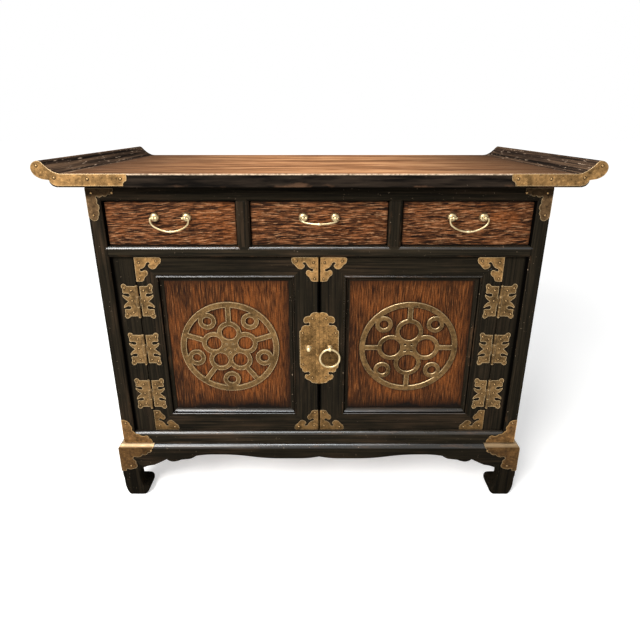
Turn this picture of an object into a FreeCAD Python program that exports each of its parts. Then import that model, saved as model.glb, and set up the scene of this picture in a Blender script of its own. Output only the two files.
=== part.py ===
# Low sideboard with scrolled top ends, three drawers, two brass-mounted doors and a footed base.
# Front faces -Y, +X is to the right, +Z is up, and the floor is at Z = 0.
import FreeCAD, Part, Sketcher
import os
import re

doc = FreeCAD.newDocument("sideboard")

# Driving sizes, all in millimetres unless the name says otherwise
sizes = {
    # Top
    "side_overhang": 40,
    "top_depth": 510,
    "top_thickness": 25,
    "scroll_reach": 45,
    "scroll_rise": 24.5,
    "scroll_drop": 11,
    "front_overhang": 20,
    "back_overhang": 12,
    # Case
    "body_width": 904,
    "base_height": 140,
    "base_proud": 10,
    "bottom_rail_height": 28,
    "doorway_height": 420,
    "drawer_rail_height": 23,
    "drawer_opening_height": 91,
    "top_rail_height": 30,
    "post_width": 27,
    "post_depth": 34,
    "opening_round": 7,
    "inset": 10,
    "hinge_stile_width": 44,
    "divider_width": 27,
    "divider_centre": 151,
    "divider_depth": 24,
    "side_rail_thickness": 22,
    "panel_thickness": 10,
    "panel_tongue": 6,
    "panel_recess": 4,
    "shelf_thickness": 14,
    "stop_height": 8,
    "stop_gap": 0.5,
    "bearer_size": 20,
    # Base
    "apron_thickness": 24,
    "notch_reach": 50,
    "notch_height": 78,
    "neck_reach": 40.5,
    "neck_depth": 29,
    "neck_height": 62,
    "hoof_reach": 51.5,
    "hoof_height": 9,
    "toe_reach": 55,
    "toe_height": 14,
    "heel_round": 14,
    "heel_height": 32,
    "heel_ease": 1.2,
    "sole_ease": 8,
    "bracket_height": 86,
    "peak_reach": 107,
    "peak_height": 101.7,
    "bump_reach": 123,
    "bump_height": 95,
    "step_reach": 161,
    "step_height": 102.6,
    "arch_reach": 224,
    "arch_height": 115,
    "sag_reach": 378,
    "sag_height": 104,
    "apron_middle_height": 109.3,
    # Doors
    "door_thickness": 22,
    "fit_gap": 1.5,
    "hinge_gap": 2,
    "meeting_gap": 4,
    "frame_face": 40.5,
    "meeting_face": 50,
    "moulding_width": 12.7,
    "moulding_depth": 8.4,
    "bead_width": 5,
    "bead_rise": 1.2,
    "lip_thickness": 1.4,
    "rebate_width": 8,
    "panel_fit": 0.5,
    "door_panel_thickness": 9,
    # Brass mounts
    "brass_thickness": 1.2,
    "top_plate_reach": 132,
    "top_plate_lift": 2.5,
    "upper_plate_reach": 54,
    "upper_plate_height": 64,
    "lower_plate_reach": 65,
    "lower_plate_height": 60,
    "plate_lift": 2,
    "plate_gap": 0.3,
    "bend_ease": 1,
    "upper_plate_drop": 4,
    "leg_plate_reach": 82,
    "leg_plate_height": 71,
    "corner_arm": 53,
    "leaf_thickness": 1.5,
    "leaf_width": 32.5,
    "hinge_height": 77,
    "hinge_spacing": 112,
    "knuckle_radius": 3,
    "knuckle_clearance": 0.5,
    "knuckle_gap": 0.3,
    "pin_radius": 1.6,
    "pin_fit": 0.05,
    "pin_overrun": 1.5,
    "lock_half_width": 43.3,
    "lock_half_height": 89,
    "lock_seam": 0.6,
    "lock_drop": 1.5,
    "eye_lift": 3,
    "eye_spread": 23,
    "eye_ball_radius": 4.6,
    "eye_standoff": 8.5,
    "ring_slack": 0.7,
    "eye_collar_radius": 6,
    "eye_collar_height": 1.6,
    "eye_stem_radius": 2.8,
    "ring_radius": 21.3,
    "ring_wire_radius": 2.2,
    "medallion_radius": 107.4,
    "medallion_band": 12,
    "medallion_thickness": 4,
    "petal_wall": 9.5,
    "left_petals": 5,
    "left_petal_ring": 36,
    "left_petal_radius": 26,
    "right_petals": 4,
    "right_petal_ring": 38,
    "right_petal_radius": 30,
    "loop_radius": 19,
    "spoke_width": 10.5,
    # Drawers and pulls
    "drawer_front_thickness": 20,
    "drawer_side_thickness": 12,
    "drawer_side_height": 72,
    "drawer_side_inset": 3,
    "drawer_bottom_thickness": 6,
    "drawer_bottom_lift": 6,
    "drawer_back_gap": 2,
    "runner_gap": 0.3,
    "guide_gap": 1,
    "guide_height": 18,
    "pull_spacing": 63,
    "pull_lift": 13,
    "rosette_radius": 9.5,
    "rosette_height": 7,
    "pull_stem_radius": 2.6,
    "pull_ball_radius": 3.7,
    "pull_standoff": 12.5,
    "bail_wire_radius": 1.8,
    "bail_fit": 0.09,
    "bail_arm_offset": 6.2,
    "bail_head_radius": 2.4,
    "bail_head_length": 2.6,
    "bail_head_gap": 0.4,
    "bail_bend_radius": 2.6,
    "bail_arm_length": 4.2,
    "bail_corner_radius": 15,
    "bail_drop": 27,
    "bail_bead_radius": 2.9,
    "bail_bead_length": 9,
    "middle_bail_raised_degrees": 76,
}

# Places worked out from the driving sizes; x places are distances from the middle
levels = {
    "body_half": "body_width / 2",
    "board_half": "body_half + side_overhang",
    "base_half": "body_half + base_proud",
    "top_front": "-top_depth / 2",
    "body_front": "top_front + front_overhang",
    "body_back": "top_depth / 2 - back_overhang",
    "base_front": "body_front - base_proud",
    "base_back": "body_back + base_proud",
    "base_middle": "(base_front + base_back) / 2",
    "side_apron_half": "(base_back - base_front) / 2",
    "door_front": "body_front + inset",
    "door_back": "door_front + door_thickness",
    "rail_back": "door_back + stop_gap",
    "front_post_back": "body_front + post_depth",
    "back_post_front": "body_back - post_depth",
    "back_rail_front": "body_back - side_rail_thickness",
    "doorway_bottom": "base_height + bottom_rail_height",
    "doorway_top": "doorway_bottom + doorway_height",
    "drawer_floor": "doorway_top + drawer_rail_height",
    "drawer_head": "drawer_floor + drawer_opening_height",
    "top_under": "drawer_head + top_rail_height",
    "top_surface": "top_under + top_thickness",
    "post_inside": "body_half - post_width",
    "stile_edge": "post_inside - hinge_stile_width",
    "hinge_line": "stile_edge - hinge_gap / 2",
    "hinge_front": "door_front - knuckle_radius - knuckle_clearance",
    "door_outer": "stile_edge - hinge_gap",
    "door_inner": "meeting_gap / 2",
    "door_bottom": "doorway_bottom + fit_gap",
    "door_top": "doorway_top - fit_gap",
    "door_height": "door_top - door_bottom",
    "door_middle": "(door_top + door_bottom) / 2",
    "frame_width": "frame_face + moulding_width",
    "sight_outer": "door_outer - frame_width",
    "sight_inner": "door_inner + meeting_face + moulding_width",
    "panel_front": "door_front + moulding_depth",
    "medallion_place": "(sight_outer + sight_inner) / 2",
    "board_top": "doorway_bottom + stop_height",
    "drawer_divide": "divider_centre + divider_width / 2",
    "drawer_back": "back_rail_front - drawer_back_gap",
    "guide_half": "divider_width / 2 + fit_gap + drawer_side_inset - guide_gap",
    "pull_height": "(drawer_floor + drawer_head) / 2 + pull_lift",
    "eye_height": "door_middle + eye_lift",
    "eye_hole_radius": "ring_wire_radius + ring_slack",
    "bail_half": "pull_spacing / 2 + bail_arm_offset",
    "bail_pin_end": "pull_spacing / 2 - pull_ball_radius - bail_head_gap - bail_head_length",
    "bail_inward": "bail_half - bail_corner_radius",
    "bail_depth": "bail_drop - bail_arm_length",
    "bail_rest": "bail_inward^2 + bail_depth^2 - bail_corner_radius^2",
    "bail_bow": "bail_rest / (2 * (bail_depth - bail_corner_radius))",
    "bail_lean": "bail_inward / (bail_bow - bail_corner_radius)",
}

dims = doc.addObject("Spreadsheet::Sheet", "dims")
places = doc.addObject("Spreadsheet::Sheet", "places")


# A formula is written in the words above; each word gets the name of the sheet that holds it
def linked(formula, own_sheet=""):
    def with_sheet(match):
        word = match.group()
        if word in sizes:
            return "dims." + word
        if word in levels and own_sheet != "places":
            return "places." + word
        return word

    return re.sub(r"[a-z_]+", with_sheet, formula)


def value(formula):
    return float(dims.evalExpression(linked(formula)))


def bind(item, prop, formula):
    item.setExpression(prop, linked(formula))


def fill_sheets():
    for row, (word, size) in enumerate(sizes.items(), 1):
        dims.set(f"A{row}", word)
        dims.set(f"B{row}", str(size))
        dims.setAlias(f"B{row}", word)
    for row, (word, formula) in enumerate(levels.items(), 1):
        places.set(f"A{row}", word)
        places.set(f"B{row}", "=" + linked(formula, "places"))
        places.setAlias(f"B{row}", word)
    doc.recompute()


def place(item, at):
    for letter, formula in zip("xyz", at):
        bind(item, "Placement.Base." + letter, formula)


def turn(item, axis, degrees):
    item.Placement.Rotation = FreeCAD.Rotation(FreeCAD.Vector(*axis), degrees)


x_axis = (1, 0, 0)
y_axis = (0, 1, 0)
z_axis = (0, 0, 1)


# Board between a low and a high formula along each axis
def box(label, x, y, z):
    item = doc.addObject("Part::Box", label)
    for (low, high), side in zip((x, y, z), ("Length", "Width", "Height")):
        bind(item, side, f"({high}) - ({low})")
    place(item, (x[0], y[0], z[0]))
    return item


def cylinder(label, radius, length, at):
    item = doc.addObject("Part::Cylinder", label)
    bind(item, "Radius", radius)
    bind(item, "Height", length)
    place(item, at)
    return item


def cone(label, radius, end_radius, length, at):
    item = doc.addObject("Part::Cone", label)
    bind(item, "Radius1", radius)
    bind(item, "Radius2", end_radius)
    bind(item, "Height", length)
    place(item, at)
    return item


def left_of(near, far):
    return (f"-({far})", f"-({near})")


# Outline of (x, y) corners; a corner with two more formulas is reached by an arc through that point
def draw(sketch, outline):
    rules = []
    spots = [FreeCAD.Vector(value(corner[0]), value(corner[1]), 0) for corner in outline]
    ends = []
    for index, corner in enumerate(outline):
        start = spots[index - 1]
        end = spots[index]
        if len(corner) == 2:
            line = sketch.addGeometry(Part.LineSegment(start, end), False)
        else:
            middle = FreeCAD.Vector(value(corner[2]), value(corner[3]), 0)
            line = sketch.addGeometry(Part.Arc(start, middle, end), False)
            mark = sketch.addGeometry(Part.Point(middle), True)
            rules.append((Sketcher.Constraint("DistanceX", mark, 1, middle.x), corner[2]))
            rules.append((Sketcher.Constraint("DistanceY", mark, 1, middle.y), corner[3]))
            rules.append((Sketcher.Constraint("PointOnObject", mark, 1, line), None))
        first = sketch.getPoint(line, 1)
        forward = first.distanceToPoint(start) < first.distanceToPoint(end)
        head, tail = (1, 2) if forward else (2, 1)
        ends.append((line, head, tail))
        rules.append((Sketcher.Constraint("DistanceX", line, tail, end.x), corner[0]))
        rules.append((Sketcher.Constraint("DistanceY", line, tail, end.y), corner[1]))
    for (line, head, tail), (after, after_head, after_tail) in zip(ends, ends[1:] + ends[:1]):
        rules.append((Sketcher.Constraint("Coincident", line, tail, after, after_head), None))
    numbers = sketch.addConstraint([rule for rule, formula in rules])
    for number, (rule, formula) in zip(numbers, rules):
        if formula:
            bind(sketch, f"Constraints[{number}]", formula)


def circle(sketch, x, y, radius):
    centre = FreeCAD.Vector(value(x), value(y), 0)
    line = sketch.addGeometry(Part.Circle(centre, FreeCAD.Vector(*z_axis), value(radius)), False)
    rules = [
        (Sketcher.Constraint("DistanceX", line, 3, centre.x), x),
        (Sketcher.Constraint("DistanceY", line, 3, centre.y), y),
        (Sketcher.Constraint("Radius", line, value(radius)), radius),
    ]
    for rule, formula in rules:
        bind(sketch, f"Constraints[{sketch.addConstraint(rule)}]", formula)


def new_sketch(body, plane):
    sketch = body.newObject("Sketcher::SketchObject", body.Name + "_sketch")
    support = [part for part in body.Origin.OriginFeatures if part.Role == plane][0]
    sketch.AttachmentSupport = [(support, "")]
    sketch.MapMode = "FlatFace"
    return sketch


# XZ outlines grow towards -Y, or towards +Y when behind is set
def padded(label, plane, outline, depth, at=("0", "0", "0"), behind=False):
    body = doc.addObject("PartDesign::Body", label)
    sketch = new_sketch(body, plane)
    draw(sketch, outline)
    add_pad(body, sketch, depth, behind)
    place(body, at)
    return body


def add_pad(body, sketch, depth, behind=False):
    pad = body.newObject("PartDesign::Pad", body.Name + "_pad")
    pad.Profile = sketch
    bind(pad, "Length", depth)
    pad.Reversed = behind
    return pad


# Cut both ways from the sketch plane, deep enough to pass right through
def pocketed(body, plane, outline, depth):
    sketch = new_sketch(body, plane)
    draw(sketch, outline)
    return add_pocket(body, sketch, depth)


def add_pocket(body, sketch, depth):
    pocket = body.newObject("PartDesign::Pocket", body.Name + "_pocket")
    pocket.Profile = sketch
    pocket.SideType = "Symmetric"
    bind(pocket, "Length", f"2 * ({depth})")
    return pocket


def revolved(label, outline, at):
    body = doc.addObject("PartDesign::Body", label)
    sketch = new_sketch(body, "XZ_Plane")
    draw(sketch, outline)
    turned = body.newObject("PartDesign::Revolution", label + "_turned")
    turned.Profile = sketch
    turned.ReferenceAxis = (sketch, ["V_Axis"])
    turned.Angle = 360
    place(body, at)
    return body


def group(label, items):
    bundle = doc.addObject("Part::Compound", label)
    bundle.Links = items
    return bundle


def cut(label, base, tools):
    item = doc.addObject("Part::Cut", label)
    item.Base = base
    item.Tool = tools[0] if len(tools) == 1 else group(label + "_tools", tools)
    return item


def fuse(label, items):
    item = doc.addObject("Part::MultiFuse", label)
    item.Shapes = items
    return item


def common(label, first, second):
    item = doc.addObject("Part::Common", label)
    item.Base = first
    item.Tool = second
    return item


def mirrored(label, source, normal=x_axis, base=("0", "0", "0")):
    item = doc.addObject("Part::Mirroring", label)
    item.Source = source
    item.Normal = normal
    for letter, formula in zip("xyz", base):
        bind(item, "Base." + letter, formula)
    return item


# Shares of a plate's own width and height, as formulas for draw
def scaled(shares, width, height, lift="0"):
    return [
        tuple(
            f"{share} * ({width})" if turn_number % 2 == 0 else f"{share} * ({height}) + {lift}"
            for turn_number, share in enumerate(corner)
        )
        for corner in shares
    ]


nodes = []


def keep(*items):
    nodes.extend(items)


# The corner of a square section rounded on the 45 degree line
round_share = 1 - 0.5 ** 0.5


# Outer edge of a scrolled end, from the top surface round the curl to the underside
def scroll_edge(underside):
    return [
        ("-0.07 * scroll_reach", "top_thickness"),
        (
            "-0.73 * scroll_reach",
            "top_thickness + scroll_rise",
            "-0.49 * scroll_reach",
            "top_thickness + 0.46 * scroll_rise",
        ),
        (
            "-scroll_reach",
            "top_thickness + 0.35 * scroll_rise",
            "-0.945 * scroll_reach",
            "top_thickness + 0.8 * scroll_rise",
        ),
        (
            "-0.58 * scroll_reach",
            "top_thickness - scroll_drop",
            "-0.9 * scroll_reach",
            "top_thickness - 0.62 * scroll_drop",
        ),
        ("-0.38 * scroll_reach", "top_thickness - 0.7 * scroll_drop"),
        ("-0.12 * scroll_reach", underside, "-0.31 * scroll_reach", "0.2 * top_thickness"),
    ]


def make_top():
    span = ("-board_half", "board_half")
    keep(box("top_board", span, ("top_front", "-top_front"), ("top_under", "top_surface")))
    joint = ("-board_half", "top_front", "top_under")
    profile = [("0", "0"), ("0", "top_thickness")] + scroll_edge("0")
    left = padded("left_scroll_end", "XZ_Plane", profile, "top_depth", joint, behind=True)
    keep(left, mirrored("right_scroll_end", left))


# Round along the front edges of an opening, mitred at its corners: the wood to take off around it
def rounded_opening(label, half_width, half_height, at):
    bend = f"{round_share} * opening_round"
    near_x = f"({half_width})"
    near_z = f"({half_height})"
    far_x = f"({half_width} + opening_round)"
    far_z = f"({half_height} + opening_round)"
    corner = (f"-{near_x}", f"-{near_z}")
    far_corner = (f"-{far_x}", f"-{far_z}")
    below = common(
        label + "_below",
        padded(
            label + "_below_view",
            "XZ_Plane",
            [corner, (near_x, corner[1]), (far_x, far_corner[1]), far_corner],
            "opening_round",
            behind=True,
        ),
        padded(
            label + "_below_section",
            "YZ_Plane",
            [
                ("0", far_corner[1], bend, f"{corner[1]} - {bend}"),
                ("0", corner[1]),
                ("opening_round", corner[1]),
            ],
            f"2 * {far_x}",
            (far_corner[0], "0", "0"),
        ),
    )
    beside = common(
        label + "_beside",
        padded(
            label + "_beside_view",
            "XZ_Plane",
            [corner, far_corner, (far_corner[0], far_z), (corner[0], near_z)],
            "opening_round",
            behind=True,
        ),
        padded(
            label + "_beside_section",
            "XY_Plane",
            [
                (far_corner[0], "0", f"{corner[0]} - {bend}", bend),
                (corner[0], "0"),
                (corner[0], "opening_round"),
            ],
            f"2 * {far_z}",
            ("0", "0", far_corner[1]),
        ),
    )
    above = mirrored(label + "_above", below, z_axis)
    opposite = mirrored(label + "_opposite", beside)
    opening = group(label, [fuse(label + "_ring", [below, beside, above, opposite])])
    place(opening, at)
    return opening


def front_rail(label, bottom, height, openings):
    inside = ("-post_inside", "post_inside")
    bar = box(label + "_bar", inside, ("body_front", "rail_back"), (bottom, f"{bottom} + {height}"))
    return cut(label, bar, openings)


def make_case():
    inside = ("-post_inside", "post_inside")
    half_height = "drawer_opening_height / 2"
    drawer_place = ("body_front", f"drawer_floor + {half_height}")
    doorway = rounded_opening(
        "doorway_round",
        "post_inside",
        "doorway_height / 2",
        ("0", "body_front", "doorway_bottom + doorway_height / 2"),
    )
    left_drawer = rounded_opening(
        "left_drawer_round",
        "(post_inside - drawer_divide) / 2",
        half_height,
        ("-(post_inside + drawer_divide) / 2",) + drawer_place,
    )
    middle_drawer = rounded_opening(
        "middle_drawer_round", "(divider_centre - divider_width / 2)", half_height, ("0",) + drawer_place
    )
    drawers = [left_drawer, middle_drawer, mirrored("right_drawer_round", left_drawer)]
    keep(
        front_rail("front_bottom_rail", "base_height", "bottom_rail_height", [doorway]),
        front_rail("drawer_rail", "doorway_top", "drawer_rail_height", [doorway] + drawers),
        front_rail("front_top_rail", "drawer_head", "top_rail_height", drawers),
    )
    divider_bar = box(
        "left_divider_bar",
        left_of("divider_centre - divider_width / 2", "divider_centre + divider_width / 2"),
        ("body_front", "body_front + divider_depth"),
        ("drawer_floor", "drawer_head"),
    )
    divider = cut("left_divider", divider_bar, drawers[:2])
    keep(group("drawer_dividers", [divider, mirrored("right_divider", divider)]))
    stile = box(
        "left_hinge_stile",
        left_of("stile_edge", "post_inside"),
        ("door_front", "door_back"),
        ("doorway_bottom", "doorway_top"),
    )
    keep(group("hinge_stiles", [stile, mirrored("right_hinge_stile", stile)]))

    side_panel = box(
        "left_side_panel",
        left_of("body_half - panel_recess - panel_thickness", "body_half - panel_recess"),
        ("front_post_back - panel_tongue", "back_post_front + panel_tongue"),
        ("doorway_bottom - panel_tongue", "drawer_head + panel_tongue"),
    )
    keep(group("side_panels", [side_panel, mirrored("right_side_panel", side_panel)]))
    back_panel = box(
        "back_panel",
        ("-post_inside - panel_tongue", "post_inside + panel_tongue"),
        ("back_rail_front + panel_recess", "back_rail_front + panel_recess + panel_thickness"),
        ("doorway_bottom - panel_tongue", "drawer_head + panel_tongue"),
    )
    keep(back_panel)

    upright = ("base_height", "top_under")
    across = left_of("post_inside", "body_half")
    front_bar = box("front_post_bar", across, ("body_front", "front_post_back"), upright)
    back_bar = box("back_post_bar", across, ("back_post_front", "body_back"), upright)
    front_post = cut("front_left_post", front_bar, [side_panel, doorway, left_drawer])
    back_post = cut("back_left_post", back_bar, [side_panel, back_panel])
    keep(front_post, back_post)
    keep(mirrored("front_right_post", front_post), mirrored("back_right_post", back_post))

    lower = ("base_height", "doorway_bottom")
    upper = ("drawer_head", "top_under")
    side_rails = []
    back_rails = []
    for word, heights in (("lower", lower), ("upper", upper)):
        bar = box(
            f"{word}_side_bar",
            left_of("body_half - side_rail_thickness", "body_half"),
            ("front_post_back", "back_post_front"),
            heights,
        )
        rail = cut(f"{word}_left_side_rail", bar, [side_panel])
        side_rails += [rail, mirrored(f"{word}_right_side_rail", rail)]
        bar = box(f"{word}_back_bar", inside, ("back_rail_front", "body_back"), heights)
        back_rails.append(cut(f"{word}_back_rail", bar, [back_panel]))
    keep(group("side_rails", side_rails), group("back_rails", back_rails))


# Boards that carry what the case holds, with the bearers and guides under and beside them
def make_inside():
    inside = ("-post_inside", "post_inside")
    depth = ("rail_back", "back_rail_front")
    keep(
        box("bottom_board", inside, depth, ("board_top - shelf_thickness", "board_top")),
        box("drawer_deck", inside, depth, ("drawer_floor - shelf_thickness", "drawer_floor")),
    )
    bearers = []
    for word, board in (("bottom", "board_top"), ("deck", "drawer_floor")):
        under = f"{board} - shelf_thickness"
        bearer = box(
            f"{word}_left_bearer",
            left_of("post_inside - bearer_size", "post_inside"),
            depth,
            (f"{under} - bearer_size", under),
        )
        bearers += [bearer, mirrored(f"{word}_right_bearer", bearer)]
    keep(group("board_bearers", bearers))
    heights = ("drawer_floor", "drawer_floor + guide_height")
    middle = box(
        "left_middle_guide",
        left_of("divider_centre - guide_half", "divider_centre + guide_half"),
        depth,
        heights,
    )
    side = box(
        "left_side_guide",
        left_of("post_inside - fit_gap - drawer_side_inset + guide_gap", "post_inside"),
        depth,
        heights,
    )
    guides = [middle, side, mirrored("right_middle_guide", middle), mirrored("right_side_guide", side)]
    keep(group("drawer_guides", guides))


# Leg seen from the front or the side, measured in from the outer edge: heel, sole, hoof, neck and notch
def leg_outline(heel, rise, hoof, crest, neck):
    return [
        ("0", "base_height"),
        ("0", rise),
        (heel, "0", f"0.25 * {heel}", f"0.38 * {rise}"),
        (f"{hoof} - sole_ease", "0"),
        (hoof, crest, f"{hoof} - 0.28 * sole_ease", f"0.32 * {crest}"),
        (
            neck,
            "neck_height",
            f"0.65 * {neck} + 0.35 * {hoof}",
            f"0.45 * neck_height + 0.55 * {crest}",
        ),
        (
            "notch_reach",
            "notch_height",
            f"0.72 * {neck} + 0.28 * notch_reach",
            "0.41 * neck_height + 0.59 * notch_height",
        ),
    ]


# Half of an apron's lower edge from the leg joint inwards: bracket, peak, bump and step, then the arch
def apron_edge(long_apron):
    edge = [
        ("notch_reach", "notch_height"),
        ("notch_reach + 14", "bracket_height - 2.4", "notch_reach + 6.5", "bracket_height - 5"),
        ("notch_reach + 27", "bracket_height"),
        ("peak_reach", "peak_height", "0.87 * peak_reach", "bracket_height + 8"),
        ("bump_reach", "bump_height", "bump_reach - 9", "bump_height + 1.5"),
        ("bump_reach + 17", "step_height - 2.5", "bump_reach + 9", "bump_height + 1.7"),
        ("step_reach", "step_height"),
        ("step_reach + 15", "arch_height - 4", "step_reach + 8", "step_height + 3.5"),
    ]
    if long_apron:
        fall = "(0.48 * arch_reach + 0.52 * sag_reach)"
        edge += [
            ("arch_reach", "arch_height", "arch_reach - 25", "arch_height - 0.7"),
            (fall, "0.5 * arch_height + 0.5 * sag_height", f"{fall} - 40", "arch_height - 1"),
            ("sag_reach", "sag_height", "sag_reach - 38", "sag_height + 1.2"),
        ]
    return edge


def apron(label, plane, half, long_apron, depth, at, behind):
    left = apron_edge(long_apron)
    outline = [(f"-({half})", "base_height")]
    outline += [shifted(corner, half, -1) for corner in left]
    inner_end = shifted(left[-1][:2], half, 1)
    if long_apron:
        cusp = "0.045 * " + half
        lift = "0.7 * sag_height + 0.3 * apron_middle_height"
        outline.append((f"-2 * {cusp}", "sag_height"))
        outline.append(("0", "apron_middle_height", f"-{cusp}", lift))
        outline.append((f"2 * {cusp}", "sag_height", cusp, lift))
        outline.append(inner_end)
    else:
        outline.append(inner_end + ("0", "arch_height"))
    for corner, passed in zip(left[-2::-1], left[:0:-1]):
        outline.append(shifted(corner[:2] + passed[2:], half, 1))
    outline.append((half, "base_height"))
    return padded(label, plane, outline, depth, at, behind)


# A corner measured in from an apron's end, as a place along the apron
def shifted(corner, half, sign):
    return tuple(
        f"{sign} * ({half} - ({formula}))" if number % 2 == 0 else formula
        for number, formula in enumerate(corner)
    )


# Round along the front and left edges of the base's top, or of a layer that stands proud of it
def ledge_round(label, proud, radius):
    bend = f"{round_share} * ({radius})"
    section = [("0", f"-({radius})", bend, f"-{bend}"), ("0", "0"), (radius, "0")]
    at = (f"-base_half - {proud}", f"base_front - {proud}", f"base_height + {proud}")
    front = padded(label + "_front", "YZ_Plane", section, "2 * base_half", at)
    left = padded(label + "_left", "XZ_Plane", section, "2 * side_apron_half", at, behind=True)
    return fuse(label, [front, left])


def make_base():
    corner = ("-base_half", "base_front", "0")
    far = "hoof_reach + toe_reach"
    front_outline = leg_outline("heel_round", "heel_height", "hoof_reach", "hoof_height", "neck_reach")
    side_outline = leg_outline("heel_ease", "heel_ease", "toe_reach", "toe_height", "neck_depth")
    seen_from_front = padded("leg_front_view", "XZ_Plane", front_outline, far, corner, behind=True)
    seen_from_side = padded("leg_side_view", "YZ_Plane", side_outline, far, corner)
    middle = ("0", "base_middle", "0")
    near_round = ledge_round("base_near_round", "0", "base_proud")
    right_round = mirrored("base_right_round", near_round)
    rounds = fuse("base_round", [near_round, mirrored("base_far_round", right_round, y_axis, middle)])
    blank = common("leg_blank", seen_from_front, seen_from_side)
    leg = cut("front_left_leg", blank, [rounds])
    front_legs = [leg, mirrored("front_right_leg", leg)]
    back_legs = [mirrored(leg.Name.replace("front", "back"), leg, y_axis, middle) for leg in front_legs]
    keep(group("front_legs", front_legs), group("back_legs", back_legs))

    # Aprons meet at the corners on a mitre seen from above
    front_board = apron(
        "front_apron_board",
        "XZ_Plane",
        "base_half",
        True,
        "apron_thickness",
        ("0", "base_front", "0"),
        True,
    )
    for sign in (-1, 1):
        mitre = [
            (f"{sign} * base_half", "0"),
            (f"{sign} * base_half", "apron_thickness"),
            (f"{sign} * (base_half - apron_thickness)", "apron_thickness"),
        ]
        pocketed(front_board, "XY_Plane", mitre, "base_height")
    side_board = apron(
        "left_apron_board",
        "YZ_Plane",
        "side_apron_half",
        False,
        "apron_thickness",
        ("-base_half", "base_middle", "0"),
        False,
    )
    for sign in (-1, 1):
        mitre = [
            ("0", f"{sign} * side_apron_half"),
            ("apron_thickness", f"{sign} * side_apron_half"),
            ("apron_thickness", f"{sign} * (side_apron_half - apron_thickness)"),
        ]
        pocketed(side_board, "XY_Plane", mitre, "base_height")
    front = cut("front_apron", front_board, [rounds])
    side = cut("left_apron", side_board, [rounds])
    back = mirrored("back_apron", front, y_axis, middle)
    keep(front, back, group("side_aprons", [side, mirrored("right_apron", side)]))


# Moulded bar of a door frame, standing along Z with its outer edge at local x = 0
def frame_bar(label, face, length, sign):
    cove = f"{face} + bead_width"
    sight = f"{face} + moulding_width"
    lip = "moulding_depth - lip_thickness"
    hollow = "0.75 * moulding_depth - lip_thickness"
    section = [
        ("0", "0"),
        (face, "0"),
        (cove, "0.4 * bead_rise", f"{face} + 0.45 * bead_width", "-bead_rise"),
        (sight, lip, f"{cove} + 0.3 * (moulding_width - bead_width)", hollow),
        (sight, "moulding_depth"),
        (f"{sight} - rebate_width", "moulding_depth"),
        (f"{sight} - rebate_width", "door_thickness"),
        ("0", "door_thickness"),
    ]
    body = padded(label, "XY_Plane", flipped(section, sign), length)
    start = f"{face} - frame_face"
    low = [(start, "0"), (sight, "0"), (sight, "frame_width")]
    high = [(x, f"{length} - ({z})") for x, z in low]
    for mitre in (low, high):
        pocketed(body, "XZ_Plane", flipped(mitre, sign), "2 * door_thickness")
    return body


def flipped(outline, sign):
    if sign > 0:
        return outline
    return [
        tuple(f"-({formula})" if number % 2 == 0 else formula for number, formula in enumerate(corner))
        for corner in outline
    ]


def make_door_frame():
    outer = frame_bar("left_door_outer_stile", "frame_face", "door_height", 1)
    place(outer, ("-door_outer", "door_front", "door_bottom"))
    meeting = frame_bar("left_door_meeting_stile", "meeting_face", "door_height", -1)
    place(meeting, ("-door_inner", "door_front", "door_bottom"))
    reach = "(door_outer - door_inner - meeting_face + frame_face)"
    lower = frame_bar("left_door_lower_rail", "frame_face", reach, 1)
    turn(lower, y_axis, -90)
    place(lower, (f"-door_outer + {reach}", "door_front", "door_bottom"))
    upper = frame_bar("left_door_upper_rail", "frame_face", reach, 1)
    turn(upper, y_axis, 90)
    place(upper, ("-door_outer", "door_front", "door_top"))
    panel = box(
        "left_door_panel",
        left_of("sight_inner - rebate_width + panel_fit", "sight_outer + rebate_width - panel_fit"),
        ("panel_front", "panel_front + door_panel_thickness"),
        (
            "door_bottom + frame_width - rebate_width + panel_fit",
            "door_top - frame_width + rebate_width - panel_fit",
        ),
    )
    left = {
        "door_stiles": group("left_door_stiles", [outer, meeting]),
        "door_rails": group("left_door_rails", [lower, upper]),
        "door_panel": panel,
    }
    keep_both(left)


# Left-hand pieces and their mirror images on the right
def keep_both(pieces):
    for name, piece in pieces.items():
        keep(piece, mirrored("right_" + name, piece))


# Pierced disc: a plain rim, a flower of joined rings and loops between its spokes
def medallion(label, petals, petal_ring, petal_radius, side):
    body = doc.addObject("PartDesign::Body", label)
    rim = new_sketch(body, "XZ_Plane")
    circle(rim, "0", "0", "medallion_radius")
    circle(rim, "0", "0", "medallion_radius - medallion_band")
    add_pad(body, rim, "medallion_thickness")
    inner = "medallion_radius - medallion_band"
    half = "spoke_width / 2"
    spoke = [
        (f"-{half}", "0"),
        (half, "0"),
        (half, f"{inner} + {half}"),
        (f"-{half}", f"{inner} + {half}"),
    ]
    across = f"({inner} - 0.9 * loop_radius) * sin(180 deg / {petals})"
    along = f"({inner} - 0.9 * loop_radius) * cos(180 deg / {petals})"
    repeat_round(body, petals, add_pad, draw, spoke)
    repeat_round(body, petals, add_pad, circle, "0", petal_ring, petal_radius)
    repeat_round(body, petals, add_pad, circle, across, along, "loop_radius")
    repeat_round(body, petals, add_pocket, circle, "0", petal_ring, f"{petal_radius} - petal_wall")
    repeat_round(body, petals, add_pocket, circle, across, along, "loop_radius - petal_wall")
    place(body, (f"{side} * medallion_place", "panel_front", "door_middle"))
    return body


# One feature repeated evenly round the disc
def repeat_round(body, count, add_feature, drawing, *drawing_sizes):
    sketch = new_sketch(body, "XZ_Plane")
    drawing(sketch, *drawing_sizes)
    feature = add_feature(body, sketch, "medallion_thickness")
    doc.recompute()
    pattern = body.newObject("PartDesign::PolarPattern", body.Name + "_round")
    pattern.Originals = [feature]
    pattern.Axis = (sketch, ["N_Axis"])
    pattern.Angle = 360
    bind(pattern, "Occurrences", count)
    body.Tip = pattern


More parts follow.
